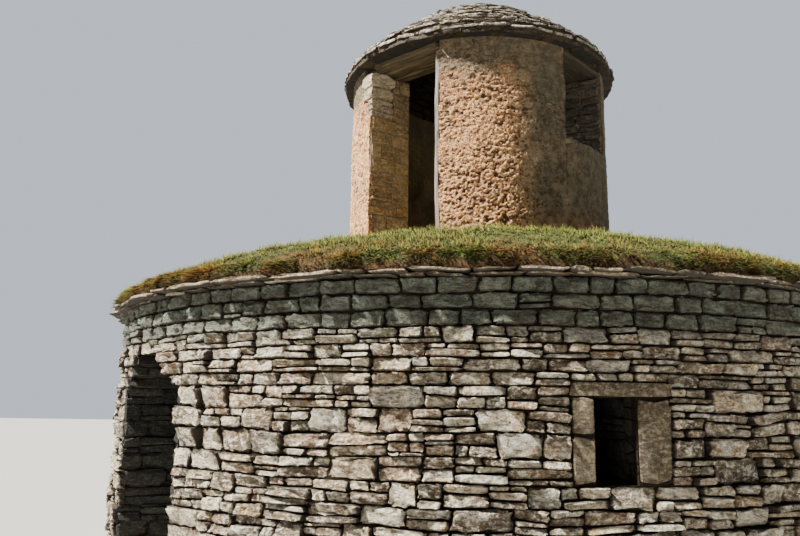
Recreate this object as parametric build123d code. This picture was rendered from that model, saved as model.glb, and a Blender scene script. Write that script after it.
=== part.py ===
from build123d import *
from math import asin, atan2, ceil, cos, degrees, floor, radians, sqrt
import os

# Round field-stone chapel in two stages, standing on the ground at height 0.
# A broad dry-stone drum with a corbelled room carries a turf-covered shoulder, and on that
# stands a narrow rendered turret under a stepped roof of stone slabs.
# Lengths are in millimetres. Azimuths are in degrees: 0 is the front, -Y, and they grow towards +X.

# Round work is laid in short straight facets, as a mason lays it
facet_count = 48
sliver_angle = 0.1
full_turn = 360.0

# Drum
drum_radius = 4250.0
drum_wall = 1170.0
drum_height = 2540.0
vault_spring = 1250.0
vault_eye = 850.0
wall_corbels = 8

# Doorway of the drum, with a corbelled head
door_azimuth = -45.5
door_width = 1330.0
door_spring = 1750.0
door_head = 2050.0
door_corbel_reach = 375.0
door_corbel_steps = 3

# Small window of the drum, between upright jamb stones
window_azimuth = 12.9
window_width = 306.0
window_sill = 1080.0
window_head = 1680.0
window_jamb_left = 165.0
window_jamb_right = 255.0
window_lintel_depth = 110.0
window_stone_stand = 12.0

# Cornice, shoulder vault and turf
cornice_overhang = 220.0
cornice_tail = 360.0
cornice_thickness = 50.0
shoulder_rise = 660.0
shoulder_courses = 5
turf_rim_depth = 105.0
turf_setback = 65.0
turf_cover = 100.0
turf_at_turret = 169.0
turf_bands = 6
turf_edge_round = 60.0
turf_edge_drop = 50.0

# Turret
turret_radius = 1660.0
turret_wall = 555.0
turret_height = 2606.0
turret_door_azimuth = -32.8
turret_door_width = 1037.0
turret_window_azimuth = 53.5
turret_window_width = 887.0
turret_window_sill = 1480.0
floor_flags = 5
flag_joint = 6.0

# Timbers of the turret
door_timber_depth = 104.0
door_timber_count = 4
window_board_depth = 74.0
window_board_count = 4
timber_joint = 6.0
timber_bearing = 200.0
post_width = 52.0
post_depth = 60.0
post_stand = 15.0

# Squared stones that jut from the left jamb of the turret doorway
quoin_heights = [150.0, 132.0, 96.0]
quoin_tail = 190.0
quoin_depth = 330.0
quoin_stand = 16.0
quoin_jut = 34.0
quoin_joint = 10.0

# Bent iron rod beside the head of the turret doorway
hook_from_jamb = 40.0
hook_below_timber = 30.0
hook_rod = 12.0
hook_grip = 90.0
hook_stand = 26.0
hook_run = 72.0
hook_drop = 104.0

# Slab roof
eave_overhang = 130.0
eave_thickness = 100.0
roof_rise = 1176.0
roof_curve = 1.337
roof_courses = 12
cap_courses = 4
dome_rise = 950.0
roof_gores = 6

# Slipped slabs on the right of the roof
slipped_azimuth = 38.0
slipped_width = 300.0
slipped_depth = 220.0
slipped_turn = -22.0
slipped_reach = 16.0
slipped_step = 24.0
slipped_slab_count = 2
slipped_course_number = 4

# Clearances
curved_clearance = 0.5
seat_clearance = 0.3

# Sizes that follow from those above
facet_angle = full_turn / facet_count
room_radius = drum_radius - drum_wall
vault_top = drum_height + shoulder_rise
vault_half_height = (vault_top - vault_spring) / sqrt(1 - (vault_eye / room_radius) ** 2)
cornice_radius = drum_radius + cornice_overhang
cornice_inner = drum_radius - cornice_tail
cornice_top = drum_height + cornice_thickness
turf_radius = cornice_radius - turf_setback
turf_rim = cornice_top + turf_rim_depth
turret_room_radius = turret_radius - turret_wall
floor_top = vault_top + turf_at_turret
turret_top = vault_top + turret_height
turf_inner = turret_radius / cos(radians(facet_angle / 2)) + curved_clearance
roof_radius = turret_radius + eave_overhang
hook_azimuth = turret_door_azimuth + degrees(
    asin(turret_door_width / 2 / turret_radius) + asin(hook_from_jamb / turret_radius))
roof_course = roof_rise / roof_courses
eave_top = turret_top + eave_thickness


def half_angle(width, radius):
    """Half the angle that a straight width takes up on a round wall."""
    return degrees(asin(width / 2 / radius))


def distinct(corners):
    """The corners of an outline, with those that repeat the one before left out."""
    return [corner for number, corner in enumerate(corners) if number == 0 or corner != corners[number - 1]]


def facet_edges(first, last):
    """Azimuths of the facets' edges from one end of an arc to the other, both ends included."""
    edges = [number * facet_angle for number in range(floor(first / facet_angle), ceil(last / facet_angle) + 1)]
    return [first] + [edge for edge in edges if first + sliver_angle < edge < last - sliver_angle] + [last]


def ring(outline, first, last):
    """An outline of (radius, height) corners, laid about the axis in facets between two azimuths."""
    face = make_face(Plane.YZ * Polyline(*distinct([(-radius, height) for radius, height in outline]), close=True))
    return loft([Rot(0, 0, azimuth) * face for azimuth in facet_edges(first, last)], ruled=True)


def prism(radius, low, high):
    """A faceted disc about the axis, with its corners on the facets' edges."""
    return Pos(0, 0, low) * extrude(RegularPolygon(radius, facet_count), amount=high - low)


def plain_ring(inner, outer, low, high, first, last):
    """A piece of a round wall with a plain rectangular section."""
    return ring([(inner, low), (outer, low), (outer, high), (inner, high)], first, last)


def block(azimuth, inner, outer, left, right, low, high):
    """A straight block facing an azimuth, with left and right as seen from outside."""
    size = Box(right - left, outer - inner, high - low, align=(Align.MIN, Align.MIN, Align.MIN))
    return Rot(0, 0, azimuth) * Pos(left, -outer, low) * size


def vault_radius(height):
    """Inner radius of the corbelled room at a height, on an oval that closes to the eye."""
    return room_radius * sqrt(1 - ((height - vault_spring) / vault_half_height) ** 2)


def turf_surface_height(radius):
    """Height of the turf's surface at a radius, on a parabola that falls from the turret to the rim."""
    share = (radius - turf_inner) / (turf_radius - turf_inner)
    return turf_rim + (floor_top - turf_rim) * (1 - share ** 2)


def turf_surface_radius(height):
    """Radius where the turf's sloping surface is at a height."""
    share = (height - turf_rim) / (floor_top - turf_rim)
    return turf_inner + (turf_radius - turf_inner) * sqrt(1 - share)


def roof_outer_radius(height):
    """Radius of the convex slab roof at a height above the eave."""
    share = 1 - (height - eave_top) / roof_rise
    return roof_radius * share ** (1 / roof_curve)


def dome_radius(height):
    """Inner radius of the small corbelled dome inside the roof."""
    return turret_room_radius * sqrt(1 - ((height - turret_top) / dome_rise) ** 2)


def drum_courses():
    """Each stretch of the drum's inner face as (bottom, top, inner radius), from the ground up."""
    step = (drum_height - vault_spring) / wall_corbels
    courses = [(0.0, vault_spring, room_radius)]
    for number in range(wall_corbels):
        bottom = vault_spring + number * step
        courses.append((bottom, bottom + step, vault_radius(bottom + step)))
    return courses


def drum_wall_piece(first, last, low=0.0, high=drum_height):
    """A piece of the drum wall, stepping in over the room course by course."""
    outline = [(drum_radius, low)]
    for bottom, top, inner in drum_courses():
        if top > low and bottom < high:
            outline += [(inner, max(bottom, low)), (inner, min(top, high))]
    outline.append((drum_radius, high))
    return ring(outline, first, last)


def shoulder_rings():
    """The courses that close the room above the wall, as (bottom, top, inner radius, outer radius)."""
    step = shoulder_rise / shoulder_courses
    rings = []
    for number in range(shoulder_courses):
        bottom = drum_height + number * step
        outer = turf_surface_radius(bottom + step + turf_cover)
        outer = min(outer, cornice_inner - curved_clearance)
        rings.append((bottom, bottom + step, vault_radius(bottom + step), outer))
    return rings


def shoulder_vault(first, last):
    """One gore of the vault above the drum wall, stepped inside and outside."""
    rings = shoulder_rings()
    inner_side = [(inner, height) for bottom, top, inner, outer in rings for height in (bottom, top)]
    outer_side = [(outer, height) for bottom, top, inner, outer in reversed(rings) for height in (top, bottom)]
    return ring(inner_side + outer_side, first, last)


def turf(first, last):
    """One quarter of the earth and turf, its surface in sloping bands and its edge rounded."""
    outline = [(turf_inner, vault_top)]
    for bottom, top, inner, outer in reversed(shoulder_rings()):
        outline += [(outer + curved_clearance, top), (outer + curved_clearance, max(bottom, cornice_top))]
    outline += [(turf_radius, cornice_top), (turf_radius, turf_rim - turf_edge_drop)]
    for number in range(turf_bands, -1, -1):
        radius = turf_inner + (turf_radius - turf_edge_round - turf_inner) * number / turf_bands
        outline.append((radius, turf_surface_height(radius)))
    return ring(outline, first, last)


def door_corbels(left, right):
    """Stepped stones on both jambs that narrow the doorway under its flat head."""
    step = (door_head - door_spring) / door_corbel_steps
    full_angle = half_angle(2 * door_corbel_reach, drum_radius)
    for_side = {left: 1, right: -1}
    sides = []
    for jamb, direction in for_side.items():
        stones = []
        for number in range(door_corbel_steps):
            angle = direction * full_angle * (number + 1) / door_corbel_steps
            low = door_spring + number * step
            first, last = sorted((jamb, jamb + angle))
            stones.append(plain_ring(room_radius, drum_radius, low, low + step, first, last))
        sides.append(stones[0].fuse(*stones[1:]))
    return sides


def lintel_timbers(azimuth, width, depth, count):
    """Timbers side by side over an opening of the turret, their ends cut to the round wall."""
    face_distance = turret_radius * cos(radians(half_angle(width, turret_radius)))
    back_distance = turret_room_radius
    pitch = (face_distance - back_distance + timber_joint) / count
    half_length = width / 2 + timber_bearing
    trim = prism(turret_radius, turret_top - depth, turret_top)
    timbers = []
    for number in range(count):
        outer = face_distance - number * pitch
        inner = outer - pitch + timber_joint
        timber = block(azimuth, inner, outer, -half_length, half_length, turret_top - depth, turret_top)
        timbers.append(timber & trim)
    return timbers


def lintel_pocket(azimuth, width, depth):
    """The bearing that the lintel timbers need in the walls beside an opening."""
    half_length = width / 2 + timber_bearing + seat_clearance
    return block(azimuth, turret_room_radius - turret_wall, turret_radius + post_stand,
                 -half_length, half_length, turret_top - depth, turret_top + depth)


def quoins(jamb, clearance=0.0):
    """Squared stones at the head of the turret doorway's left jamb, from the top down."""
    stones = []
    top = turret_top - door_timber_depth
    for height in quoin_heights:
        stones.append(block(
            jamb, turret_radius - quoin_depth - clearance, turret_radius + quoin_stand,
            -quoin_tail - clearance, quoin_jut, top - height, top))
        top -= height + quoin_joint
    return stones


def hook():
    """A square iron rod driven into the wall, bent down and aside where it comes out."""
    height = turret_top - door_timber_depth - hook_below_timber
    face = turret_radius + hook_stand
    shank = block(hook_azimuth, turret_radius - hook_grip, face, -hook_rod / 2, hook_rod / 2,
                  height - hook_rod / 2, height + hook_rod / 2)
    lean = degrees(atan2(hook_run, hook_drop))
    length = sqrt(hook_run ** 2 + hook_drop ** 2)
    drop = Rot(0, 0, hook_azimuth) * Pos(0, hook_rod / 2 - face, height) * Rot(0, -lean, 0) * Box(
        hook_rod, hook_rod, length, align=(Align.CENTER, Align.CENTER, Align.MAX))
    return shank.fuse(drop)


def hook_hole():
    """The hole that the iron rod sits in."""
    height = turret_top - door_timber_depth - hook_below_timber
    half = hook_rod / 2 + seat_clearance
    return block(hook_azimuth, turret_radius - hook_grip, turret_radius + hook_stand,
                 -half, half, height - half, height + half)


def roof_courses_list():
    """Each roof course as (bottom, top, outer radius), from the eave to the crown."""
    courses = [(turret_top, eave_top, roof_radius)]
    for number in range(roof_courses):
        bottom = eave_top + number * roof_course
        courses.append((bottom, bottom + roof_course, roof_outer_radius(bottom + roof_course / 2)))
    return courses


def roof_gore(first, last):
    """One gore of the slab roof, stepped outside and corbelled inside."""
    lower = roof_courses_list()[:1 + roof_courses - cap_courses]
    inner_side = []
    for bottom, top, outer in lower:
        inner = dome_radius((bottom + top) / 2)
        inner_side += [(inner, bottom), (inner, top)]
    outer_side = [(outer, height) for bottom, top, outer in reversed(lower) for height in (top, bottom)]
    return ring(inner_side + outer_side, first, last)


def roof_cap():
    """The solid stack of round courses that closes the roof."""
    upper = roof_courses_list()[1 + roof_courses - cap_courses:]
    discs = [prism(outer, bottom, top) for bottom, top, outer in upper]
    return discs[0].fuse(*discs[1:])


def slipped_slabs():
    """Slabs of one course that have slid out and swung round, each further than the one below it."""
    low, high, radius = roof_courses_list()[slipped_course_number + 1]
    thickness = (high - low) / slipped_slab_count
    course = prism(radius + curved_clearance, low, high)
    slabs = []
    for number in range(slipped_slab_count):
        face = radius + slipped_reach + number * slipped_step
        place = Rot(0, 0, slipped_azimuth) * Pos(0, -face, low + number * thickness) * Rot(0, 0, slipped_turn)
        slab = place * Box(slipped_width, slipped_depth, thickness, align=(Align.CENTER, Align.MIN, Align.MIN))
        slabs.append(slab - course)
    return slabs[0].fuse(*slabs[1:])


def floor_flag_strips():
    """Long flags side by side that close the vault's eye and make the turret's floor."""
    radius = turret_room_radius - curved_clearance
    disc = prism(radius, vault_top, floor_top)
    pitch = 2 * radius / floor_flags
    flags = []
    for number in range(floor_flags):
        left = -radius + number * pitch + flag_joint / 2
        strip = block(turret_door_azimuth, -radius, radius, left, left + pitch - flag_joint, vault_top, floor_top)
        flags.append(strip & disc)
    return flags


def azimuth_steps(first, last, count):
    """Even pieces between two azimuths, as (first, last) pairs."""
    step = (last - first) / count
    return [(first + number * step, first + (number + 1) * step) for number in range(count)]


def drum_nodes():
    """Walls of the drum round its doorway and its small window."""
    door_half = half_angle(door_width, drum_radius)
    door_left = door_azimuth - door_half
    door_right = door_azimuth + door_half
    window_half = half_angle(window_width, drum_radius)
    window_left = window_azimuth - window_half
    window_right = window_azimuth + window_half
    bay_left = window_left - 2 * half_angle(window_jamb_left, drum_radius)
    bay_right = window_right + 2 * half_angle(window_jamb_right, drum_radius)
    face = drum_radius + window_stone_stand
    lintel_top = window_head + window_lintel_depth
    back_names = ["drum_wall_front_right", "drum_wall_right", "drum_wall_back_right",
                  "drum_wall_back_left", "drum_wall_left", "drum_wall_front_left"]
    front_names = ["drum_wall_beside_door", "drum_wall_beside_window"]
    nodes = {}
    for name, (first, last) in zip(back_names, azimuth_steps(bay_right, door_left + full_turn, len(back_names))):
        nodes[name] = [drum_wall_piece(first, last)]
    for name, (first, last) in zip(front_names, azimuth_steps(door_right, bay_left, len(front_names))):
        nodes[name] = [drum_wall_piece(first, last)]
    nodes["drum_wall_over_door"] = [drum_wall_piece(door_left, door_right, low=door_head)]
    nodes["drum_door_corbels"] = door_corbels(door_left, door_right)
    nodes["drum_wall_under_window"] = [drum_wall_piece(bay_left, bay_right, high=window_sill)]
    nodes["drum_wall_over_window"] = [drum_wall_piece(bay_left, bay_right, low=lintel_top)]
    nodes["drum_window_jambs"] = [
        plain_ring(room_radius, face, window_sill, window_head, bay_left, window_left),
        plain_ring(room_radius, face, window_sill, window_head, window_right, bay_right)]
    nodes["drum_window_lintel"] = [
        plain_ring(room_radius, face, window_head, lintel_top, bay_left, bay_right)]
    return nodes


def shoulder_nodes():
    """Cornice, vault above the wall, and the turf over them, each in quarters."""
    quarter_names = ["front_right", "back_right", "back_left", "front_left"]
    nodes = {}
    for name, (first, last) in zip(quarter_names, azimuth_steps(0, full_turn, len(quarter_names))):
        nodes["cornice_" + name] = [
            plain_ring(cornice_inner, cornice_radius, drum_height, cornice_top, first, last)]
        nodes["vault_" + name] = [shoulder_vault(first, last)]
        nodes["turf_" + name] = [turf(first, last)]
    return nodes


def turret_nodes():
    """Walls, floor and timbers of the turret."""
    door_half = half_angle(turret_door_width, turret_radius)
    door_left = turret_door_azimuth - door_half
    door_right = turret_door_azimuth + door_half
    window_half = half_angle(turret_window_width, turret_radius)
    window_left = turret_window_azimuth - window_half
    window_right = turret_window_azimuth + window_half
    door_pocket = lintel_pocket(turret_door_azimuth, turret_door_width, door_timber_depth)
    window_pocket = lintel_pocket(turret_window_azimuth, turret_window_width, window_board_depth)

    def wall(first, last, top=turret_top):
        return plain_ring(turret_room_radius, turret_radius, vault_top, top, first, last)

    back_names = ["turret_wall_right", "turret_wall_back_right", "turret_wall_back",
                  "turret_wall_back_left", "turret_wall_left"]
    nodes = {}
    for name, (first, last) in zip(back_names, azimuth_steps(window_right, door_left + full_turn, len(back_names))):
        nodes[name] = [wall(first, last)]
    nodes["turret_wall_right"] = [nodes["turret_wall_right"][0] - window_pocket]
    left_wall = nodes["turret_wall_left"][0] - door_pocket
    for stone in quoins(door_left, seat_clearance):
        left_wall = left_wall - stone
    nodes["turret_wall_left"] = [left_wall]
    nodes["turret_wall_front"] = [wall(door_right, window_left) - door_pocket - window_pocket - hook_hole()]
    nodes["turret_wall_under_window"] = [wall(window_left, window_right, vault_top + turret_window_sill)]
    nodes["turret_door_quoins"] = quoins(door_left)
    nodes["turret_door_lintel"] = lintel_timbers(
        turret_door_azimuth, turret_door_width, door_timber_depth, door_timber_count)
    nodes["turret_window_lintel"] = lintel_timbers(
        turret_window_azimuth, turret_window_width, window_board_depth, window_board_count)
    nodes["turret_door_post"] = [block(
        door_right, turret_radius + post_stand - post_depth, turret_radius + post_stand,
        -post_width - seat_clearance, -seat_clearance, floor_top, turret_top - door_timber_depth)]
    nodes["turret_door_hook"] = [hook()]
    nodes["turret_door_threshold"] = [plain_ring(
        turret_room_radius, turret_radius, vault_top, floor_top, door_left, door_right)]
    nodes["turret_floor"] = floor_flag_strips()
    return nodes


def roof_nodes():
    """The slab roof in gores, its cap and the slipped slabs."""
    nodes = {}
    for number, (first, last) in enumerate(azimuth_steps(0, full_turn, roof_gores), start=1):
        nodes[f"roof_gore_{number}"] = [roof_gore(first, last)]
    nodes["roof_cap"] = [roof_cap()]
    nodes["roof_slipped_slabs"] = [slipped_slabs()]
    return nodes


os.makedirs("parts", exist_ok=True)
for make_nodes in (drum_nodes, shoulder_nodes, turret_nodes, roof_nodes):
    for node, pieces in make_nodes().items():
        solids = [solid for piece in pieces for solid in piece.solids()]
        export_step(solids[0] if len(solids) == 1 else Compound(children=solids), f"parts/{node}.step")
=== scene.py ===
import math
import random

import bmesh
import bpy
import numpy as np
from mathutils import Matrix, Vector


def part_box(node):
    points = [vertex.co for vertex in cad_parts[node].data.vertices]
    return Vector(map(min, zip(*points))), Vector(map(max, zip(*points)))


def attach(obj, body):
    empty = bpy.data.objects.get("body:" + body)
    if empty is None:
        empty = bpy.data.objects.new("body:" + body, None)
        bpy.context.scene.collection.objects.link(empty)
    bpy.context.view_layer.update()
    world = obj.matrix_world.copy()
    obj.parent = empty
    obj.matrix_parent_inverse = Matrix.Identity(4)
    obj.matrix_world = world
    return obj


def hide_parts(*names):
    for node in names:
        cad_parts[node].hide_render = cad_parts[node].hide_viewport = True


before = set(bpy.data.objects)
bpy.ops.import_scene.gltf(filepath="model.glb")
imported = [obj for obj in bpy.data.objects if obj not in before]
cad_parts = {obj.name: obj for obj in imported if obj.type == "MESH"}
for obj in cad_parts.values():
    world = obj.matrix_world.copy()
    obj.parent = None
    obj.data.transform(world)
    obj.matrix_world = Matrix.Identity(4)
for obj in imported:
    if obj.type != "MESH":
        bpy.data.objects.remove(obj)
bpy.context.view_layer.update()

# Sizes read from the frame, in metres, about the axis of the round building
DRUM_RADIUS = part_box("drum_wall_back_left")[1].y
DRUM_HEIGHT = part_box("drum_wall_back_left")[1].z
CORNICE_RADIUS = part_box("cornice_back_left")[1].y
CORNICE_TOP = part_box("cornice_back_left")[1].z
TURF_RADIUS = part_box("turf_back_left")[1].y
TURF_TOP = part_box("turf_back_left")[1].z
TURRET_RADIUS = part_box("turret_wall_back")[1].y
TURRET_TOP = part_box("turret_wall_back")[1].z
ROOF_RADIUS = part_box("roof_gore_3")[1].y
ROOF_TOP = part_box("roof_cap")[1].z
LINTEL_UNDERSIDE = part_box("turret_door_lintel")[0].z
WINDOW_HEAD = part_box("turret_window_lintel")[0].z
WINDOW_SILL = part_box("turret_wall_under_window")[1].z
SMALL_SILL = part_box("drum_window_jambs")[0].z
SMALL_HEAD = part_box("drum_window_jambs")[1].z
SMALL_LINTEL_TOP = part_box("drum_window_lintel")[1].z
DOOR_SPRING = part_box("drum_door_corbels")[0].z
DOOR_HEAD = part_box("drum_door_corbels")[1].z

# Wall thicknesses and places that the boxes don't give, as in the construction
DRUM_WALL = 1.17
TURRET_WALL = 0.555
TURF_RIM = CORNICE_TOP + 0.105
EAVE_TOP = TURRET_TOP + 0.1
ROOF_CURVE = 1.337

# Azimuths in degrees: 0 is the front, -Y, growing towards +X
DRUM_DOOR = (-54.5, -36.5)
DRUM_WINDOW = (10.84, 14.96)
WINDOW_BAY = (8.61, 18.4)
TURRET_DOOR = (-51.0, -14.6)
TURRET_WINDOW = (38.0, 69.0)
FULL_TURN = 360.0

# Range that the phases of waves are drawn from, in radians
PHASES = (0, 6.28)

# The photograph's camera, solved from the round walls' outlines
EYE = (0.0, -9.5, 1.6)
LENS = 32.87
SENSOR_WIDTH = 36.0
PITCH = math.radians(10.73)
YAW = math.radians(6.169)
ROLL = math.radians(-0.694)

# Heights between which a colour fades in, from none to its full strength
UNDER_EAVE = (5.24, 5.52)
EAVE_BANDS = (5.05, 5.4)
RAIN_STREAKS = (4.3, 5.7)
ROOM_SHADE = (5.0, 5.9)
RED_RIM = (3.02, 2.74)
RIM_SHADE = (2.70, 2.61)
EARTH_BANK = (2.66, 2.60)
POST_FOOT = (4.2, 3.5)
RENDER_FOOT = (3.95, 3.3)
# A radius beyond every wall, for masonry that shows no painted shade at its face
NO_FACE = 9.0

# Sizes of the laid work
FACE_DEPTH = 0.1
BED_WAVE = 0.017
CORBELS = 3
CORBEL_STEP = (DOOR_HEAD - DOOR_SPRING) / CORBELS
CORBEL_ANGLE = math.degrees(math.asin(0.375 / DRUM_RADIUS)) / CORBELS
ROOF_COURSES = 12
SLIPPED_AZIMUTH = 38.0
SLIPPED_RADIUS = 1.287
SLIPPED_TURN = -22.0
SLIPPED_WIDTH = 0.3
SLIPPED_DEPTH = 0.236
TURF_SECTORS = 16
TURF_GRID = (30, 44)
BLADE_ROOM = 0.045
RIM_SHARE = 0.1
RIM_ROUND = 0.08
TIMBER_JOINT = 0.022
TIMBER_BEARING = 0.2
LINTEL_TIMBERS = 4
# Width of an opening and depth of the timbers over it
DOOR_TIMBERS = (1.037, 0.104)
WINDOW_BOARDS = (0.887, 0.074)
# How far the post's sides lie from the jamb, and its faces from the wall's face
POST_SIDES = (-0.047, -0.003)
POST_FACES = (-0.045, 0.014)
# Height, left end, right end, how far it juts and how round it is worn, from the top down
QUOINS = ((0.178, -0.188, 0.06, 0.036, 0.32), (0.134, -0.176, 0.036, 0.022, 0.12),
          (0.062, -0.092, 0.018, 0.010, 0.1), (0.072, -0.07, 0.028, 0.014, 0.1),
          (0.056, -0.052, 0.018, 0.010, 0.1))
QUOIN_JOINT = 0.013
QUOIN_ANGLE = math.degrees(0.19 / TURRET_RADIUS)
QUOIN_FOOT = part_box("turret_door_quoins")[1].z - sum(quoin[0] + QUOIN_JOINT for quoin in QUOINS)
# Azimuth, height, half length and half height of holes in the render
SLITS = [(30.5, 5.05, 0.05, 0.012), (35.0, 5.03, 0.02, 0.018), (-8.0, 5.2, 0.03, 0.01),
         (21.0, 4.5, 0.02, 0.012), (-10.0, 3.42, 0.05, 0.02), (3.0, 5.33, 0.035, 0.008)]
# First and last azimuth of each piece of the drum's face
DRUM_PIECES = (("drum_stones_front", -90, 45), ("drum_stones_right", 45, 135),
               ("drum_stones_back", 135, 225), ("drum_stones_left", 225, 270))
# How the drum's stones are laid, and the calmer ones over its doorway
WALL_FIELD = {"joint": 0.011, "stand": (0.016, 0.076), "tone": (0.0, 1.0), "tilt": 0.022, "least": 0.003,
              "reach": 0.1}
WALL_TOP = WALL_FIELD | {"stand": (0.028, 0.052), "tone": (0.1, 0.85), "tilt": 0.010}
GREEN_FOOT = DOOR_HEAD - 0.03
# Foot and head over the wall, and how far the slabs stand out
CORNICE_LAYERS = ((0.0, 0.026, (0.03, 0.13)), (0.02, 0.05, (0.15, 0.212)))
# Blades over the turf and at its rim, in quarters from the left of the front
BLADE_COUNTS = ((27000, 14000), (22000, 11000), (11000, 8000), (11000, 8000))

SUN_AZIMUTH = -69.5
SUN_ELEVATION = math.radians(52.0)
SUN_ENERGY = 21.5


def ring(turn, radius, height):
    """Places round the axis, from angles in radians, radii and heights."""
    return np.stack([radius * np.sin(turn), -radius * np.cos(turn), height], -1)


def arc(azimuth, radius):
    """Length along a round wall from the front to an azimuth in degrees."""
    return math.radians(azimuth) * radius


# Shader helpers

class Value:
    """An output socket that adds, subtracts and multiplies like a number."""

    def __init__(self, graph, socket):
        self.graph = graph
        self.socket = socket

    def __add__(self, other):
        return self.graph.math("ADD", self, other)

    def __sub__(self, other):
        return self.graph.math("SUBTRACT", self, other)

    def __rsub__(self, other):
        return self.graph.math("SUBTRACT", other, self)

    def __mul__(self, other):
        return self.graph.math("MULTIPLY", self, other)


class Graph:
    """Short ways to place and join nodes in one tree."""

    def __init__(self, tree):
        self.tree = tree

    def place(self, kind, inputs, **settings):
        """Places a node with its settings and inputs, and gives its outputs by name and by number."""
        node = self.tree.nodes.new(kind)
        for name, value in settings.items():
            setattr(node, name, value)
        for name, value in inputs.items():
            self.feed(node.inputs[name], value)
        return {key: Value(self, socket) for number, socket in enumerate(node.outputs)
                for key in (number, socket.name)}

    def feed(self, socket, value):
        """Joins an output to a socket, or sets the socket's constant."""
        if isinstance(value, Value):
            self.tree.links.new(value.socket, socket)
        else:
            socket.default_value = (*value, 1.0) if socket.type == "RGBA" else value

    def coords(self):
        return self.place("ShaderNodeTexCoord", {})["Object"]

    def tone(self, output="Color"):
        """What the corners of a laid piece store."""
        return self.place("ShaderNodeAttribute", {}, attribute_name="tone")[output]

    def shared(self, group, inputs):
        return self.place("ShaderNodeGroup", inputs, node_tree=group)

    def vectors(self, operation, first, second):
        return self.place("ShaderNodeVectorMath", {0: first, 1: second}, operation=operation)[0]

    def noise(self, vector, scale, detail=4.0, rough=0.55, distortion=0.0, output="Fac"):
        return self.place("ShaderNodeTexNoise", {
            "Vector": vector, "Scale": scale, "Detail": detail, "Roughness": rough,
            "Distortion": distortion})[output]

    def cells(self, vector, scale, output="Distance", feature="F1"):
        return self.place("ShaderNodeTexVoronoi", {"Vector": vector, "Scale": scale}, feature=feature)[output]

    def math(self, operation, first, second=0.0, clamp=False):
        return self.place("ShaderNodeMath", {0: first, 1: second}, operation=operation, use_clamp=clamp)[0]

    def span(self, value, low, high, to_low=0.0, to_high=1.0):
        """A value's range mapped to another, clamped and eased."""
        return self.place("ShaderNodeMapRange", {
            "Value": value, "From Min": low, "From Max": high, "To Min": to_low, "To Max": to_high},
            interpolation_type="SMOOTHSTEP")["Result"]

    def ramp(self, value, stops):
        """Colours for a value, from stops of (place, colour)."""
        node = self.tree.nodes.new("ShaderNodeValToRGB")
        self.feed(node.inputs[0], value)
        elements = node.color_ramp.elements
        for number, (place, colour) in enumerate(stops):
            stop = elements[number] if number < 2 else elements.new(place)
            stop.position = place
            stop.color = (*colour, 1.0)
        return Value(self, node.outputs[0])

    def mix(self, factor, first, second, blend="MIX"):
        inputs = {0: factor, 6: first, 7: second}
        return self.place("ShaderNodeMix", inputs, data_type="RGBA", blend_type=blend)[2]

    def layers(self, colour, *layers):
        """A colour with (mask, paint) layers over it, from the lowest to the topmost."""
        for mask, paint in layers:
            colour = self.mix(mask, colour, paint)
        return colour

    def grey(self, value):
        return self.place("ShaderNodeCombineColor", {0: value, 1: value, 2: value})[0]

    def parts(self, value, kind="XYZ"):
        """The three parts of a vector, or of a colour where the kind is Color."""
        outputs = self.place("ShaderNodeSeparate" + kind, {0: value})
        return outputs[0], outputs[1], outputs[2]


class MaterialGraph(Graph):
    """The nodes of a new material."""

    def __init__(self, name):
        self.material = bpy.data.materials.new(name)
        self.material.use_nodes = True
        super().__init__(self.material.node_tree)
        self.tree.nodes.clear()

    def finish(self, colour, roughness, relief=None, strength=1.0, depth=0.05, **more):
        """Gives the material, with a relief of a depth in metres."""
        inputs = {"Base Color": colour, "Roughness": roughness}
        inputs |= {name.replace("_", " "): value for name, value in more.items()}
        if relief:
            inputs["Normal"] = self.place("ShaderNodeBump", {
                "Height": relief, "Strength": strength, "Distance": depth})["Normal"]
        shader = self.place("ShaderNodeBsdfPrincipled", inputs)["BSDF"]
        self.place("ShaderNodeOutputMaterial", {"Surface": shader})
        return self.material


class GroupGraph(Graph):
    """The nodes of a new shader group, with one number as its input where it has one."""

    def __init__(self, name, given=None):
        super().__init__(bpy.data.node_groups.new(name, "ShaderNodeTree"))
        if given:
            self.tree.interface.new_socket(given, in_out="INPUT", socket_type="NodeSocketFloat")
            self.given = self.place("NodeGroupInput", {})[0]

    def finish(self, outputs, kind="NodeSocketFloat"):
        for name in outputs:
            self.tree.interface.new_socket(name, in_out="OUTPUT", socket_type=kind)
        self.place("NodeGroupOutput", outputs)
        return self.tree


def rock_grain_group():
    """Relief and mottling of split limestone: broken beds, pits and fine grain."""
    g = GroupGraph("rock_grain", "Scale")
    place = g.coords()
    beds = g.noise(g.vectors("MULTIPLY", place, (1.0, 1.0, 2.6)), g.given * 11.0, 7.0, 0.68, 0.9)
    broken = g.noise(place, g.given * 36.0, 5.0, 0.68)
    solid = g.span(g.cells(place, g.given * 55.0), 0.06, 0.42)
    relief = beds * 0.55 + broken * 0.45
    # The hollow and pit masks give painted shade, the ridge mask a painted highlight on the high parts
    return g.finish({
        "Relief": relief + solid * 0.11,
        "PitShade": 1.0 - solid,
        "HollowShade": g.span(relief, 0.495, 0.41),
        "RidgeHighlight": g.span(relief, 0.50, 0.58),
        "Mottle": g.noise(place, g.given * 5.0, 6.0, 0.65, 0.4)})


def weather_group():
    """Rain streaks, lichen spots and moss, by place on the building."""
    g = GroupGraph("weather")
    place = g.coords()
    streaks = g.noise(g.vectors("MULTIPLY", place, (9.0, 9.0, 0.7)), 1.0, 4.0, 0.6)
    spots = g.span(g.noise(place, 26.0, 3.0, 0.7), 0.55, 0.7)
    return g.finish({
        "Streak": g.span(streaks, 0.42, 0.72),
        "Lichen": spots * g.span(g.noise(place, 3.1, 3.0, 0.6), 0.45, 0.65),
        "Moss": g.span(g.noise(place, 4.3, 5.0, 0.65, 0.6), 0.52, 0.68)})


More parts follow.
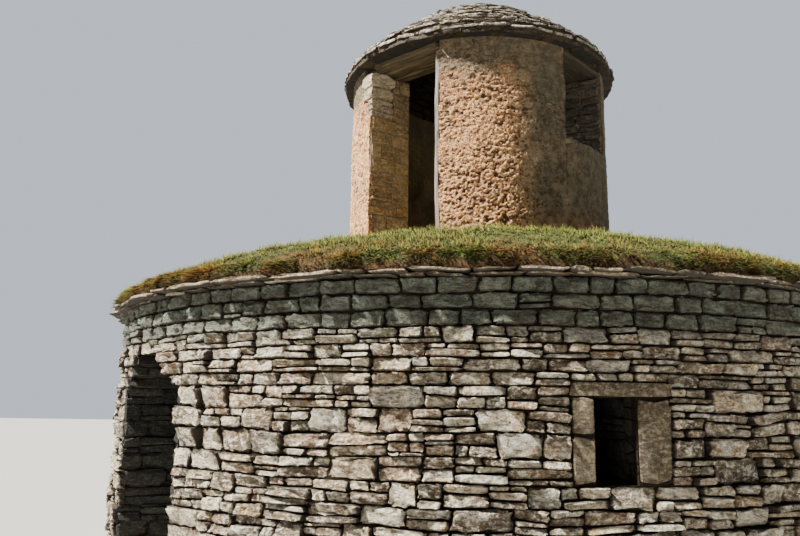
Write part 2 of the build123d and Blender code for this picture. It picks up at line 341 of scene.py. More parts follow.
def block_material(name, stops, dirt_and_shade, lichen, depth=0.07, scale=1.0, pale=0.5, green=0.0, under=0.0):
    """Laid stones: each has its own tone, painted shade at its edges and in its hollows and pits, mottling,
    a painted highlight on its pale ridges, moss, and lichen.

    Green is how strongly a green tint, deepened as painted shade, colours the wall above the doorway;
    pale is how strong the painted highlight is; under is how much painted shade darkens each stone's foot.
    """
    g = MaterialGraph(name)
    light, hue, level = g.parts(g.tone(), "Color")
    grain = g.shared(ROCK_GRAIN, {"Scale": scale})
    weather = g.shared(WEATHER, {})
    colour = g.ramp(g.math("ADD", hue, (grain["Mottle"] - 0.5) * 0.8, clamp=True), stops)
    grey = g.grey(light * 0.62 + grain["Mottle"] * 0.6)
    colour = g.mix(1.0, colour, g.mix(0.16, grey, (1.0, 1.0, 1.0)), "MULTIPLY")
    # Painted highlight: the lichen colour on each stone's ridges; then moss and lichen spots
    colour = g.layers(colour, (grain["RidgeHighlight"] * pale, lichen), (weather["Moss"] * 0.4, dirt_and_shade),
                      (weather["Lichen"] * 0.5, lichen))
    if green:
        # Green tint over the wall's head, deepened as painted shade under the cornice
        height = g.parts(g.coords())[2]
        green_and_shade = g.mix(g.span(grain["Mottle"], 0.35, 0.65), (0.022, 0.040, 0.029), (0.118, 0.174, 0.132))
        colour = g.mix(g.span(height, GREEN_FOOT, GREEN_FOOT + 0.22) * green, colour, green_and_shade)
    # Painted shade at each stone's edges, where it recedes towards its joints, and in its hollows and pits
    colour = g.layers(colour, (g.span(g.tone("Alpha"), 0.55, 0.95, 0.97, 0.0), dirt_and_shade),
                      (grain["HollowShade"] * 0.7, dirt_and_shade), (grain["PitShade"] * 0.42, dirt_and_shade))
    if under:
        # Painted shade on the lower part of each stone, darkest at its foot
        colour = g.mix(g.span(level, 0.4, 0.08, 0.0, under), colour, dirt_and_shade)
    return g.finish(colour, 0.92, grain["Relief"], 1.0, depth)


def core_material(name, face_radius, light=(0.13, 0.105, 0.075), joint=(0.022, 0.018, 0.013)):
    """Masonry behind the laid stones: near black at its outer face as painted shade, rough rubble inside the
    rooms.
    """
    g = MaterialGraph(name)
    place = g.coords()
    sway = g.vectors("MULTIPLY", g.noise(place, 5.0, 4.0, 0.5, output="Color"), (0.16, 0.16, 0.06))
    flat = g.vectors("MULTIPLY", g.vectors("ADD", place, sway), (3.1, 3.1, 10.5))
    joints = g.span(g.cells(flat, 1.0, feature="DISTANCE_TO_EDGE"), 0.01, 0.10)
    stone = g.parts(g.cells(flat, 1.0, "Color"), "Color")[0]
    grain = g.shared(ROCK_GRAIN, {"Scale": 1.0})
    x, y, _ = g.parts(place)
    # Painted shade: near black where the outer face shows through the joints between the laid stones
    outer = g.span(g.math("SQRT", x * x + y * y), face_radius - 0.09, face_radius - 0.04)
    gap_shade = g.mix(grain["Mottle"], (0.004, 0.003, 0.002), (0.03, 0.022, 0.014))
    # Hollows take the dark joint colour as painted shade
    colour = g.layers(light, (stone * 0.8, g.mix(0.6, light, joint)), (grain["HollowShade"] * 0.7, joint),
                      ((1.0 - joints) * 0.8, joint), (outer, gap_shade))
    relief = joints * 0.4 + grain["Relief"] * 0.6
    return g.finish(colour, 1.0, relief, 0.9, 0.04, Specular_IOR_Level=0.1)


def render_material():
    """The turret's earth render: ochre and salmon, greyer under the eave and on the right by stains and
    painted shade.
    """
    g = MaterialGraph("earth_render")
    place = g.coords()
    x, y, height = g.parts(place)
    hollow_shade, worn, _ = g.parts(g.tone(), "Color")
    broad = g.noise(place, 1.7, 5.0, 0.6, 0.5)
    middle = g.noise(place, 12.0, 6.0, 0.70)
    fine = g.noise(place, 44.0, 4.0, 0.65)
    ragged = height + g.span(g.noise(place, 2.2, 4.0, 0.6), 0.3, 0.7, -0.12, 0.12)
    # Painted shade with stains: greys the render under the eave and towards its shaded right side
    right = g.span(x + y * 0.12, 0.04, 0.58) * 0.94
    grime_and_shade = g.math("MAXIMUM", g.span(ragged, *UNDER_EAVE) * 0.88, right)
    grime_and_shade = grime_and_shade * g.span(broad, 0.25, 0.55, 0.82, 1.0)
    stained = g.mix(g.span(middle, 0.38, 0.62), (0.038, 0.047, 0.033), (0.15, 0.155, 0.10))
    lying = g.noise(g.vectors("MULTIPLY", place, (2.6, 2.6, 15.0)), 1.0, 3.0, 0.6)
    bands = g.span(lying, 0.52, 0.62) * g.span(height, *EAVE_BANDS, 0.0, 0.7)
    streaks = g.shared(WEATHER, {})["Streak"] * (g.span(height, *RAIN_STREAKS) * 0.5)
    chips = g.span(g.cells(place, 17.0), 0.10, 0.2, 1.0, 0.0) * g.span(g.noise(place, 5.3, 2.0), 0.5, 0.62)
    chips = chips * (0.9 - grime_and_shade * 0.8)
    colour = g.layers(
        g.ramp(broad, [(0.32, (0.48, 0.185, 0.06)), (0.46, (0.68, 0.31, 0.115)),
                       (0.56, (0.84, 0.43, 0.165)), (0.7, (0.68, 0.38, 0.15))]),
        (g.span(middle, 0.48, 0.66, 0.0, 0.8), (1.0, 0.60, 0.27)),
        (g.span(middle, 0.48, 0.34, 0.0, 0.92), (0.19, 0.075, 0.025)),
        (g.span(fine, 0.52, 0.64, 0.0, 0.65), (1.0, 0.76, 0.44)),
        (g.span(fine, 0.48, 0.38, 0.0, 0.85), (0.12, 0.05, 0.02)),
        (grime_and_shade, stained),
        (bands, (0.075, 0.078, 0.055)),
        (streaks, (0.13, 0.11, 0.06)),
        # Painted shade over the render except its left edge, which faces the light
        (g.span(x, -1.35, -0.3, 0.0, 0.225), (0.10, 0.05, 0.022)),
        (g.span(height, *RENDER_FOOT, 0.0, 0.6) * g.span(middle, 0.35, 0.6), (0.62, 0.25, 0.085)),
        (chips, (0.86, 0.76, 0.56)),
        (worn * 0.5, (0.40, 0.29, 0.17)),
        # Painted shade in the render's hollows and holes
        (g.span(hollow_shade, 0.03, 0.75, 0.0, 0.95), (0.07, 0.032, 0.014)))
    pits = g.span(g.cells(place, 38.0), 0.04, 0.40)
    relief = middle * 0.3 + fine * 0.6 + pits * 0.3 + chips * 0.2
    return g.finish(colour, 0.94, relief, 1.0, 0.05)


def turret_core_material():
    """Inside of the turret: old stained plaster over rubble, darkened towards the top of the room as painted
    shade.
    """
    g = MaterialGraph("turret_plaster")
    place = g.coords()
    colour = g.ramp(g.noise(place, 2.1, 6.0, 0.62, 0.4), [
        (0.34, (0.15, 0.115, 0.065)), (0.5, (0.27, 0.21, 0.12)), (0.66, (0.38, 0.30, 0.18))])
    colour = g.mix(g.span(g.parts(place)[2], *ROOM_SHADE, 0.0, 0.6), colour, (0.10, 0.08, 0.06))
    relief = g.noise(place, 11.0, 6.0, 0.65) + g.cells(place, 24.0) * 0.3
    return g.finish(colour, 0.93, relief, 0.9, 0.03)


def turf_group():
    """Colour of short dry turf: green, straw and reddish patches, varied by a blade's own number."""
    g = GroupGraph("turf_patches", "Own")
    place = g.coords()
    height = g.parts(place)[2]
    small = g.noise(place, 8.0, 5.0, 0.7)
    share = g.noise(place, 1.3, 5.0, 0.6, 0.6) * 0.5 + small * 0.5 + (g.given - 0.5) * 0.22
    rim = g.span(height, *RED_RIM) * g.span(g.noise(place, 2.3, 5.0, 0.65), 0.44, 0.58)
    reddish = g.mix(g.span(small, 0.4, 0.6), (0.30, 0.105, 0.012), (0.12, 0.045, 0.009))
    ragged = height + g.span(g.noise(place, 14.0, 3.0), 0.3, 0.7, -0.035, 0.035)
    patches = [(0.32, (0.105, 0.05, 0.014)), (0.40, (0.16, 0.115, 0.025)), (0.445, (0.21, 0.20, 0.042)),
               (0.485, (0.046, 0.086, 0.009)), (0.54, (0.105, 0.15, 0.017)), (0.58, (0.24, 0.24, 0.055)),
               (0.63, (0.036, 0.068, 0.009))]
    colour = g.layers(g.ramp(share, patches), (rim * (g.given * 0.6 + 0.25), reddish),
                      (g.span(ragged, *RIM_SHADE, 0.0, 0.7), (0.028, 0.016, 0.007)))
    return g.finish({"Colour": colour}, "NodeSocketColor")


def turf_material(name, soil):
    """Turf skin or blades; the skin shows soil and roots between its blades and under the rim, the soil
    between the blades deepened to near black as painted shade; each blade darkens towards its root as painted
    shade.
    """
    g = MaterialGraph(name)
    own, along, light = g.parts(g.tone(), "Color")
    colour = g.shared(TURF_PATCHES, {"Own": own})["Colour"]
    fine = None
    if soil:
        place = g.coords()
        fine = g.noise(place, 46.0, 4.0, 0.7)
        ragged = g.parts(place)[2] + g.span(g.noise(place, 5.0, 3.0), 0.3, 0.7, -0.03, 0.03)
        # Soil between the blades, deepened to near black as painted shade
        colour = g.layers(colour, (g.span(fine, 0.42, 0.60, 0.92, 0.25), (0.022, 0.015, 0.007)),
                          (g.span(ragged, *EARTH_BANK) * 0.6, (0.13, 0.065, 0.03)))
    else:
        # Painted shade: each blade darkens towards its root
        grey = g.grey((light * 1.6 + 0.15) * (along * 1.05 + 0.05))
        colour = g.mix(1.0, colour, grey, "MULTIPLY")
    return g.finish(colour, 0.9, fine, 1.0, 0.05, Specular_IOR_Level=0.2)


def timber_material():
    """Silvered oak: grain and splits follow the length stored on each timber."""
    g = MaterialGraph("silvered_oak")
    grain = g.tone("Vector")
    lines = g.noise(g.vectors("MULTIPLY", grain, (1.6, 26.0, 26.0)), 1.0, 6.0, 0.7, 0.8)
    colour = g.layers(
        g.ramp(lines, [(0.38, (0.02, 0.013, 0.006)), (0.47, (0.07, 0.049, 0.022)),
                       (0.55, (0.145, 0.107, 0.055)), (0.66, (0.28, 0.22, 0.135))]),
        (g.span(g.noise(grain, 2.4, 4.0, 0.6), 0.4, 0.7, 0.0, 0.5), (0.13, 0.09, 0.045)),
        # Painted shade: the timbers on the right, over the window, are darkened
        (g.span(g.parts(g.coords())[0], 0.5, 1.0, 0.0, 0.7), (0.035, 0.028, 0.02)))
    return g.finish(colour, 0.8, lines, 0.9, 0.012)


def post_material():
    """Pale weathered post, its split grain running up."""
    g = MaterialGraph("pale_post")
    place = g.coords()
    lines = g.noise(g.vectors("MULTIPLY", place, (60.0, 60.0, 2.2)), 1.0, 5.0, 0.65, 0.5)
    colour = g.ramp(lines, [(0.40, (0.05, 0.04, 0.033)), (0.49, (0.185, 0.152, 0.125)),
                            (0.62, (0.40, 0.345, 0.29))])
    colour = g.mix(g.span(g.parts(place)[2], *POST_FOOT, 0.0, 0.5), colour, (0.34, 0.20, 0.13))
    return g.finish(colour, 0.78, lines, 0.9, 0.008)


def iron_material():
    g = MaterialGraph("weathered_iron")
    colour = g.ramp(g.noise(g.coords(), 60.0, 5.0, 0.6), [
        (0.42, (0.62, 0.60, 0.56)), (0.6, (0.42, 0.33, 0.26)), (0.72, (0.20, 0.10, 0.06))])
    return g.finish(colour, 0.7, Metallic=0.25)


# Laying stones: every rough block is a unit block fitted to a cell of its wall

def template(bm):
    """The corners and faces of a small bmesh, kept to be repeated many times."""
    bm.verts.index_update()
    points = np.array([vert.co[:] for vert in bm.verts])
    faces = [[vert.index for vert in face.verts] for face in bm.faces]
    bm.free()
    return points, faces


def unit_block(cuts, breaks, rng, round_off, rough, corner=(0.03, 0.2)):
    """A rough closed block in a unit cube: x along the wall, y outwards, z up, front face at y = 1.

    Its relief near y = 1 is drawn to scale when one unit of y is FACE_DEPTH.
    """
    bm = bmesh.new()
    bmesh.ops.create_cube(bm, size=1.0)
    bmesh.ops.translate(bm, verts=bm.verts, vec=(0.5, 0.5, 0.5))
    for axis, count in enumerate(cuts):
        along = [edge for edge in bm.edges if abs((edge.verts[0].co - edge.verts[1].co)[axis]) > 0.9]
        bmesh.ops.subdivide_edges(bm, edges=along, cuts=count, use_grid_fill=True)
    back = [face for face in bm.faces if face.calc_center_median().y < 0.01]
    bmesh.ops.dissolve_faces(bm, faces=back)
    for vert in bm.verts:
        for axis, places in enumerate(breaks):
            vert.co[axis] = places[round(vert.co[axis] * (len(places) - 1))]
    sag = [rng.uniform(-1, 1) for _ in range(4)]
    for vert in bm.verts:
        x, y, z = vert.co
        on_side = x in (0.0, 1.0)
        on_bed = z in (0.0, 1.0)
        if y > 0.5:
            if on_side:
                vert.co.y -= round_off * rng.uniform(0.2, 1.3) * (y - 0.4)
                vert.co.x += (0.5 - x) * rng.uniform(0.0, 0.09)
            if on_bed:
                vert.co.y -= round_off * rng.uniform(0.1, 1.2) * (y - 0.4)
                vert.co.z += (0.5 - z) * rng.uniform(0.0, 0.16)
            if on_side and on_bed:
                vert.co.x += (0.5 - x) * rng.uniform(*corner)
                vert.co.z += (0.5 - z) * rng.uniform(*corner) * 1.3
            vert.co.x += rng.uniform(-0.13, 0.13) * rough
            vert.co.z += rng.uniform(-0.2, 0.2) * rough
        if y == 1.0:
            bend = sag[0] * (x - 0.5) + sag[1] * (z - 0.5) + sag[2] * (x - 0.5) * (z - 0.5) * 2
            vert.co.y += rough * (0.5 * bend - 0.3 - rng.uniform(0.0, 0.7))
    return template(bm)


def block_family(seed, cuts, breaks, round_off, rough, count=9):
    """Several unit blocks with the same faces and different surfaces."""
    rng = random.Random(seed)
    blocks = [unit_block(cuts, breaks, rng, round_off, rough) for _ in range(count)]
    return np.array([points for points, faces in blocks]), blocks[0][1]


def unit_sheet(columns, rows):
    """A closed sheet: a grid over the unit square with its face up, and one face behind it at z = -1."""
    bm = bmesh.new()
    bmesh.ops.create_grid(bm, x_segments=columns, y_segments=rows, size=0.5)
    bmesh.ops.translate(bm, verts=bm.verts, vec=(0.5, 0.5, 0.0))
    border = [edge for edge in bm.edges if edge.is_boundary]
    grown = bmesh.ops.extrude_edge_only(bm, edges=border)["geom"]
    behind = [part for part in grown if isinstance(part, bmesh.types.BMVert)]
    bmesh.ops.translate(bm, verts=behind, vec=(0.0, 0.0, -1.0))
    bmesh.ops.edgeloop_fill(bm, edges=[edge for edge in bm.edges if edge.is_boundary])
    bmesh.ops.recalc_face_normals(bm, faces=bm.faces)
    return template(bm)


def unit_blade():
    """A three-sided closed spike, one unit round and one unit tall."""
    bm = bmesh.new()
    bmesh.ops.create_cone(bm, segments=3, radius1=1.0, radius2=0.0, depth=1.0, cap_ends=True)
    bmesh.ops.remove_doubles(bm, verts=bm.verts, dist=0.001)
    bmesh.ops.translate(bm, verts=bm.verts, vec=(0.0, 0.0, 0.5))
    bmesh.ops.recalc_face_normals(bm, faces=bm.faces)
    return template(bm)


def round_wall(radius):
    """Maps (along the wall, height, outwards) onto a round wall; its blocks need turning inside out."""
    def fit(along, height, out):
        return ring(along / radius, radius + out, height)
    return fit, True


def jamb_wall(azimuth, side):
    """Maps (distance from the axis, height, into the opening) onto the flat jamb of an opening."""
    turn = math.radians(azimuth)

    def fit(along, height, out):
        return np.stack([along * math.sin(turn) + side * out * math.cos(turn),
                         -along * math.cos(turn) + side * out * math.sin(turn), height], -1)
    return fit, side < 0


def fit_stones(cells, surface, family, seed, joint=0.012, stand=(0.02, 0.05), back=-0.04,
               tilt=0.012, ripple=0.004, tone=(0.0, 1.0), hue=(0.0, 1.0), droop=0.0, reach=1.0,
               limits=(0.0, 99.0), grit=0.005, least=None):
    """Rough blocks, one for each cell of four (along, height) corners, as a batch for a mesh.

    The tone holds a stone's light and hue, then the height within it and how near its face a corner lies.
    """
    rng = np.random.default_rng(seed)
    shapes, faces = family
    fit, turned = surface
    corners = np.array(cells, float)
    count = len(corners)
    shape = shapes[rng.integers(0, len(shapes), count)]
    flip = rng.random((2, count))[:, :, None] < 0.5
    u = np.where(flip[0], 1 - shape[:, :, 0], shape[:, :, 0])
    w = np.where(flip[0], 1 - shape[:, :, 2], shape[:, :, 2])
    d = shape[:, :, 1]
    width = np.linalg.norm(corners[:, 1] - corners[:, 0], axis=1)[:, None]
    tall = np.linalg.norm(corners[:, 3] - corners[:, 0], axis=1)[:, None]
    gap_u = np.minimum(joint / 2 / width, 0.2)
    gap_w = np.minimum(joint / 2 / tall, 0.2)
    u = gap_u + u * (1 - 2 * gap_u)
    w = gap_w + w * (1 - 2 * gap_w)
    shares = np.stack([(1 - u) * (1 - w), u * (1 - w), u * w, (1 - u) * w], 1)
    along, height = (corners[:, :, None] * shares[..., None]).sum(1).transpose(2, 0, 1)
    front = rng.uniform(*stand, count)[:, None]
    lean = np.clip(rng.normal(0, tilt, (2, count)), -1.4 * tilt, 1.4 * tilt)[:, :, None]
    lean = lean * [np.clip(width / 0.25, 0, 1.3), np.clip(tall / 0.14, 0, 1.3)]
    face = d > 0.5
    deep = FACE_DEPTH * np.clip(tall / 0.11, 0.5, 1)
    out = front - (1 - d) * deep + (lean[0] * (u - 0.5) + lean[1] * (w - 0.5)) * 2
    phase = rng.uniform(*PHASES, (4, count))[:, :, None]
    wave = np.sin(along * 47 + height * 31 + phase[0]) + np.sin(along * 83 - height * 97 + phase[1])
    solid = np.stack([along, height, np.broadcast_to(phase[0] * 7, d.shape)], -1)
    broken = lumps(solid * [1, 1.6, 1], 0.055, 31) + lumps(solid, 0.027, 32) * 0.6
    least = back + 0.005 if least is None else least
    out = np.where(face, np.clip(out + wave * ripple + broken * grit, least, reach), back)
    sway = face * np.sin(height * 120 + phase[2]) * ripple * 0.6
    rise = face * np.sin(along * 70 + phase[3]) * ripple * 0.6 - d * droop
    points = fit(along + sway, np.clip(height + rise, *limits), out)
    lights, hues = (rng.uniform(*values, count)[:, None] for values in (tone, hue))
    tones = np.stack(np.broadcast_arrays(lights, hues, w, np.clip(d, 0, 1)), -1)
    return points, faces, turned, tones


def plain_tones(places, light, hue):
    """One tone for a whole stone, with no painted shade at its foot or edges."""
    return np.full((*places.shape[:2], 4), (light, hue, 0.5, 1.0))


def in_scene(name, data):
    """An object that shows the given data, linked to the scene."""
    shown = bpy.data.objects.new(name, data)
    bpy.context.scene.collection.objects.link(shown)
    return shown


def joined(name, batches, material, sharp=0.42):
    """One piece of many closed shapes, with four values stored as the tone of every corner."""
    points, tones, loops, sizes = [], [], [], []
    base = 0
    for places, faces, turned, batch_tones in batches:
        count, corners = places.shape[:2]
        faces = [face[::-1] if turned else face for face in faces]
        one = np.concatenate([np.array(face) for face in faces])
        loops.append((one[None] + base + (np.arange(count) * corners)[:, None]).ravel())
        sizes.append(np.tile([len(face) for face in faces], count))
        points.append(places.reshape(-1, 3))
        tones.append(batch_tones.reshape(-1, 4))
        base += count * corners
    points, tones, loops, sizes = (np.concatenate(part) for part in (points, tones, loops, sizes))
    mesh = bpy.data.meshes.new(name)
    mesh.vertices.add(len(points))
    mesh.vertices.foreach_set("co", points.ravel().astype(np.float32))
    mesh.loops.add(len(loops))
    mesh.loops.foreach_set("vertex_index", loops.astype(np.int32))
    mesh.polygons.add(len(sizes))
    mesh.polygons.foreach_set("loop_start", np.concatenate([[0], np.cumsum(sizes)[:-1]]).astype(np.int32))
    mesh.update(calc_edges=True)
    mesh.polygons.foreach_set("use_smooth", np.ones(len(sizes), bool))
    if sharp:
        mesh.set_sharp_from_angle(angle=sharp)
    layer = mesh.attributes.new("tone", "FLOAT_COLOR", "POINT")
    layer.data.foreach_set("color", tones.ravel().astype(np.float32))
    mesh.materials.append(material)
    piece = in_scene(name, mesh)
    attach(piece, "root")
    return piece


def lumps(points, size, seed):
    """Smooth noise from -1 to 1 at an array of points, with lumps of about the given size."""
    place = np.asarray(points) / size + 37.7 * seed
    corner = np.floor(place).astype(np.int64)
    ease = place - corner
    ease = ease * ease * (3 - 2 * ease)
    total = np.zeros(place.shape[:-1])
    for step in np.ndindex(2, 2, 2):
        key = (corner + step) * [73856093, 19349663, 83492791]
        key = (key[..., 0] ^ key[..., 1] ^ key[..., 2]) & 0x7FFFFFFF
        key = ((key ^ (key >> 13)) * 1274126177) & 0x7FFFFFFF
        value = ((key ^ (key >> 15)) & 0xFFFF) / 32767.5 - 1
        total += np.abs(np.subtract(1, step) - ease).prod(-1) * value
    return total


def fade(value, start, length):
    """From 0 at the start to 1 after the length."""
    return np.clip((value - start) / length, 0, 1)


# Layouts of irregular masonry, as cells of four (along, height) corners

def bed_line(rng, height, wave):
    """A wavy bed joint right round the wall."""
    waves = [(rng.randint(fewest, most), rng.uniform(*PHASES))
             for fewest, most in ((2, 9), (10, 24), (25, 48))]
    return height, wave, waves


def bed_height(line, turn):
    height, wave, waves = line
    return height + wave * sum(math.sin(rate * turn + phase) for rate, phase in waves) / 2


def between(first, second, share):
    """A corner on the line from one corner to another."""
    return tuple(start + (end - start) * share for start, end in zip(first, second))


def split_cell(rng, cell, calm):
    """Breaks a cell into thinner or shorter stones, at random."""
    (bl, br, tr, tl) = cell
    width = (br[0] - bl[0] + tr[0] - tl[0]) / 2
    tall = cell_tall(cell)
    if tall > 0.095 and rng.random() < (1 - calm) * min(1.0, tall / 0.16) * 0.9:
        left = rng.uniform(0.3, 0.7)
        right = min(max(left + rng.uniform(-0.14, 0.14), 0.26), 0.74)
        ml, mr = between(bl, tl, left), between(br, tr, right)
        return split_cell(rng, (bl, br, mr, ml), calm) + split_cell(rng, (ml, mr, tr, tl), calm)
    if width > 3.4 * tall and width > 0.26 and rng.random() < 0.62 * (1 - calm * 0.6):
        low = rng.uniform(0.3, 0.7)
        mb, mt = between(bl, br, low), between(tl, tr, low + rng.uniform(-0.05, 0.05))
        return split_cell(rng, (bl, mb, mt, tl), calm) + split_cell(rng, (mb, br, tr, mt), calm)
    return [cell]


def upright_joints(rng, first, last, lengths, fixed=()):
    """Joints of one course from end to end, as (foot, head) places; the fixed ones stand plumb."""
    joints = [(first, first)]
    for stop in [place for place in fixed if first < place < last] + [last]:
        place = joints[-1][0] + rng.triangular(*lengths)
        while stop - place > lengths[0]:
            joints.append((place, place + rng.uniform(-0.022, 0.022)))
            place += rng.triangular(*lengths)
        joints.append((stop, stop))
    return joints


def course_cells(rng, below, above, joints, radius, calm, hole=None, whole=0.0):
    """Stones of one course; a hole is (left, right, low, high) that no stone enters.

    The stones at both ends stay whole by the given chance.
    """
    cells = []
    for number, ((left_low, left_high), (right_low, right_high)) in enumerate(zip(joints[:-1], joints[1:])):
        heights = [bed_height(below, left_low / radius), bed_height(below, right_low / radius),
                   bed_height(above, right_high / radius), bed_height(above, left_high / radius)]
        if hole and hole[0] < (left_low + right_low) / 2 < hole[1]:
            if (heights[0] + heights[3]) / 2 < (hole[2] + hole[3]) / 2:
                heights = [min(value, hole[2]) for value in heights]
            else:
                heights = [max(value, hole[3]) for value in heights]
        if heights[3] - heights[0] > 0.03 and heights[2] - heights[1] > 0.03:
            cell = tuple(zip((left_low, right_low, right_high, left_high), heights))
            at_end = number in (0, len(joints) - 2)
            cells += split_cell(rng, cell, max(calm, whole) if at_end and rng.random() < whole else calm)
    return cells


def even_beds(rng, low, high, count, wave):
    """Bed lines between two heights, without the last one."""
    return [bed_line(rng, low + (high - low) * number / count, wave if number else wave * 0.4)
            for number in range(count)]


def flat_cells(rng, first, last, low, high, courses, lengths, calm, wave):
    """Stones of a plain upright field with straight ends."""
    beds = even_beds(rng, low, high, courses, wave) + [bed_line(rng, high, 0.0)]
    beds[0] = bed_line(rng, low, 0.0)
    cells = []
    for below, above in zip(beds[:-1], beds[1:]):
        cells += course_cells(rng, below, above, upright_joints(rng, first, last, lengths), 1.0, calm)
    return cells


def mid_azimuth(cell, radius):
    return math.degrees(sum(corner[0] for corner in cell) / 4 / radius)


def cell_tall(cell):
    return (cell[3][1] - cell[0][1] + cell[2][1] - cell[1][1]) / 2


def lay_jamb(rng, azimuth, side, field, courses, lengths, calm, family, seed, wave=0.006, **finish):
    """Stones on one jamb; the field is (inner radius, outer radius, foot, head)."""
    cells = flat_cells(rng, *field, courses, lengths, calm, wave)
    return fit_stones(cells, jamb_wall(azimuth, side), family, seed, **finish)


# Drum

def door_edge(jamb, towards_middle, height):
    """Azimuth of the doorway's edge at a height, with its corbelled head."""
    step = min(max(math.ceil((height - DOOR_SPRING) / CORBEL_STEP), 0), CORBELS)
    return jamb + towards_middle * CORBEL_ANGLE * step


def drum_cells(rng):
    """Every stone of the drum's outer face, from the ground to the cornice."""
    beds = even_beds(rng, 0.0, SMALL_SILL, 7, BED_WAVE)
    beds += even_beds(rng, SMALL_SILL, DOOR_SPRING, 4, BED_WAVE)
    beds += even_beds(rng, DOOR_SPRING, DOOR_HEAD, CORBELS, BED_WAVE * 0.4)
    beds += even_beds(rng, DOOR_HEAD, DRUM_HEIGHT, 4, BED_WAVE * 0.6)
    beds[0] = bed_line(rng, 0.0, 0.0)
    beds.append(bed_line(rng, DRUM_HEIGHT, 0.0))
    bay = tuple(arc(azimuth, DRUM_RADIUS) for azimuth in WINDOW_BAY)
    hole = (*bay, SMALL_SILL, SMALL_LINTEL_TOP)
    cells = []
    for below, above in zip(beds[:-1], beds[1:]):
        middle = (below[0] + above[0]) / 2
        if middle < DOOR_HEAD:
            first = arc(door_edge(DRUM_DOOR[1], -1, middle), DRUM_RADIUS) + rng.uniform(-0.03, 0.02)
            last = arc(door_edge(DRUM_DOOR[0], 1, middle) + FULL_TURN, DRUM_RADIUS) + rng.uniform(-0.02, 0.03)
        else:
            first = arc((DRUM_DOOR[0] + DRUM_DOOR[1]) / 2, DRUM_RADIUS) + rng.uniform(-0.3, 0.3)
            last = first + arc(FULL_TURN, DRUM_RADIUS)
        top_zone = middle > DOOR_HEAD + 0.1
        lengths = (0.17, 0.44, 0.27) if top_zone else (0.15, 0.52, 0.25)
        crosses = below[0] < SMALL_LINTEL_TOP and above[0] > SMALL_SILL
        joints = upright_joints(rng, first, last, lengths, bay if crosses else ())
        cells += course_cells(rng, below, above, joints, DRUM_RADIUS, 0.93 if top_zone else 0.2, hole,
                              0.0 if top_zone else 0.95)
    return cells


def lay_drum():
    """The drum's face in four pieces, the front one with larger stones in more detail."""
    cells = drum_cells(random.Random(41))
    top_zone = DOOR_HEAD + 0.05
    for number, (name, first, last) in enumerate(DRUM_PIECES):
        large_family, small_family = (BOULDERS, RUBBLE) if number == 0 else (RUBBLE, CHIPS)
        grit = 0.013 if number == 0 else 0.006
        batches = []
        for zone, (small_edge, finish) in enumerate(((0.075, WALL_FIELD), (0.06, WALL_TOP))):
            field = [cell for cell in cells if (cell[0][1] > top_zone) == (zone == 1)
                     and first <= (mid_azimuth(cell, DRUM_RADIUS) + 90) % 360 - 90 < last]
            for small, family, seed in ((False, large_family, 100), (True, small_family, 200)):
                chosen = [cell for cell in field if (cell_tall(cell) < small_edge) == small]
                if chosen:
                    batches.append(fit_stones(chosen, round_wall(DRUM_RADIUS), family,
                                              seed + number * 7 + zone, grit=grit, **finish))
        joined(name, batches, WALL_STONE)


def lay_drum_reveals():
    """Stones on both jambs of the drum's doorway, on its corbels and round its small window."""
    rng = random.Random(77)
    inner = DRUM_RADIUS - DRUM_WALL
    outer = DRUM_RADIUS + 0.02
    doorway = {"family": RUBBLE, "joint": 0.007, "tone": (0.0, 0.6)}
    batches = []
    for jamb, side in ((DRUM_DOOR[0], 1), (DRUM_DOOR[1], -1)):
        batches.append(lay_jamb(rng, jamb, side, (inner, outer, 0.0, DOOR_SPRING), 11, (0.16, 0.5, 0.28),
                                0.55, seed=31 + side, wave=0.012, stand=(0.032, 0.055), **doorway))
        for step in range(CORBELS):
            low = DOOR_SPRING + step * CORBEL_STEP
            batches.append(lay_jamb(
                rng, jamb + side * CORBEL_ANGLE * (step + 1), side, (inner, outer, low, low + CORBEL_STEP), 1,
                (0.2, 0.5, 0.3), 0.9, seed=51 + side + step, stand=(0.03, 0.05), **doorway))
    joined("drum_door_reveals", batches, SHADED_DOORWAY_STONE)
    field = (inner, DRUM_RADIUS - 0.16, SMALL_SILL, SMALL_HEAD)
    batches = [lay_jamb(rng, jamb, side, field, 4, (0.16, 0.4, 0.24), 0.8, RUBBLE, 61 + side,
                        joint=0.008, stand=(0.026, 0.034))
               for jamb, side in ((DRUM_WINDOW[0], 1), (DRUM_WINDOW[1], -1))]
    joined("drum_window_reveals", batches, SHADED_DOORWAY_STONE)


def lay_small_window():
    """Upright jamb stones and the lintel of the drum's window."""
    left, right = (arc(azimuth, DRUM_RADIUS) for azimuth in DRUM_WINDOW)
    bay_left, bay_right = (arc(azimuth, DRUM_RADIUS) for azimuth in WINDOW_BAY)
    parting = SMALL_SILL + (SMALL_HEAD - SMALL_SILL) * 0.56
    cells = [((first, low), (last, low), (last, high), (first, high)) for first, last, low, high in (
        (bay_left, left, SMALL_SILL, parting), (bay_left, left, parting, SMALL_HEAD),
        (right, bay_right, SMALL_SILL, SMALL_HEAD),
        (bay_left - 0.02, bay_right + 0.03, SMALL_HEAD, SMALL_LINTEL_TOP))]
    batch = fit_stones(cells, round_wall(DRUM_RADIUS), SQUARED, 12, joint=0.008, stand=(0.036, 0.048),
                       back=-0.3, tilt=0.004, ripple=0.002, tone=(0.3, 0.8), hue=(0.0, 0.8))
    joined("drum_window_frame", [batch], SQUARED_STONE)


# Cornice, turf and roof

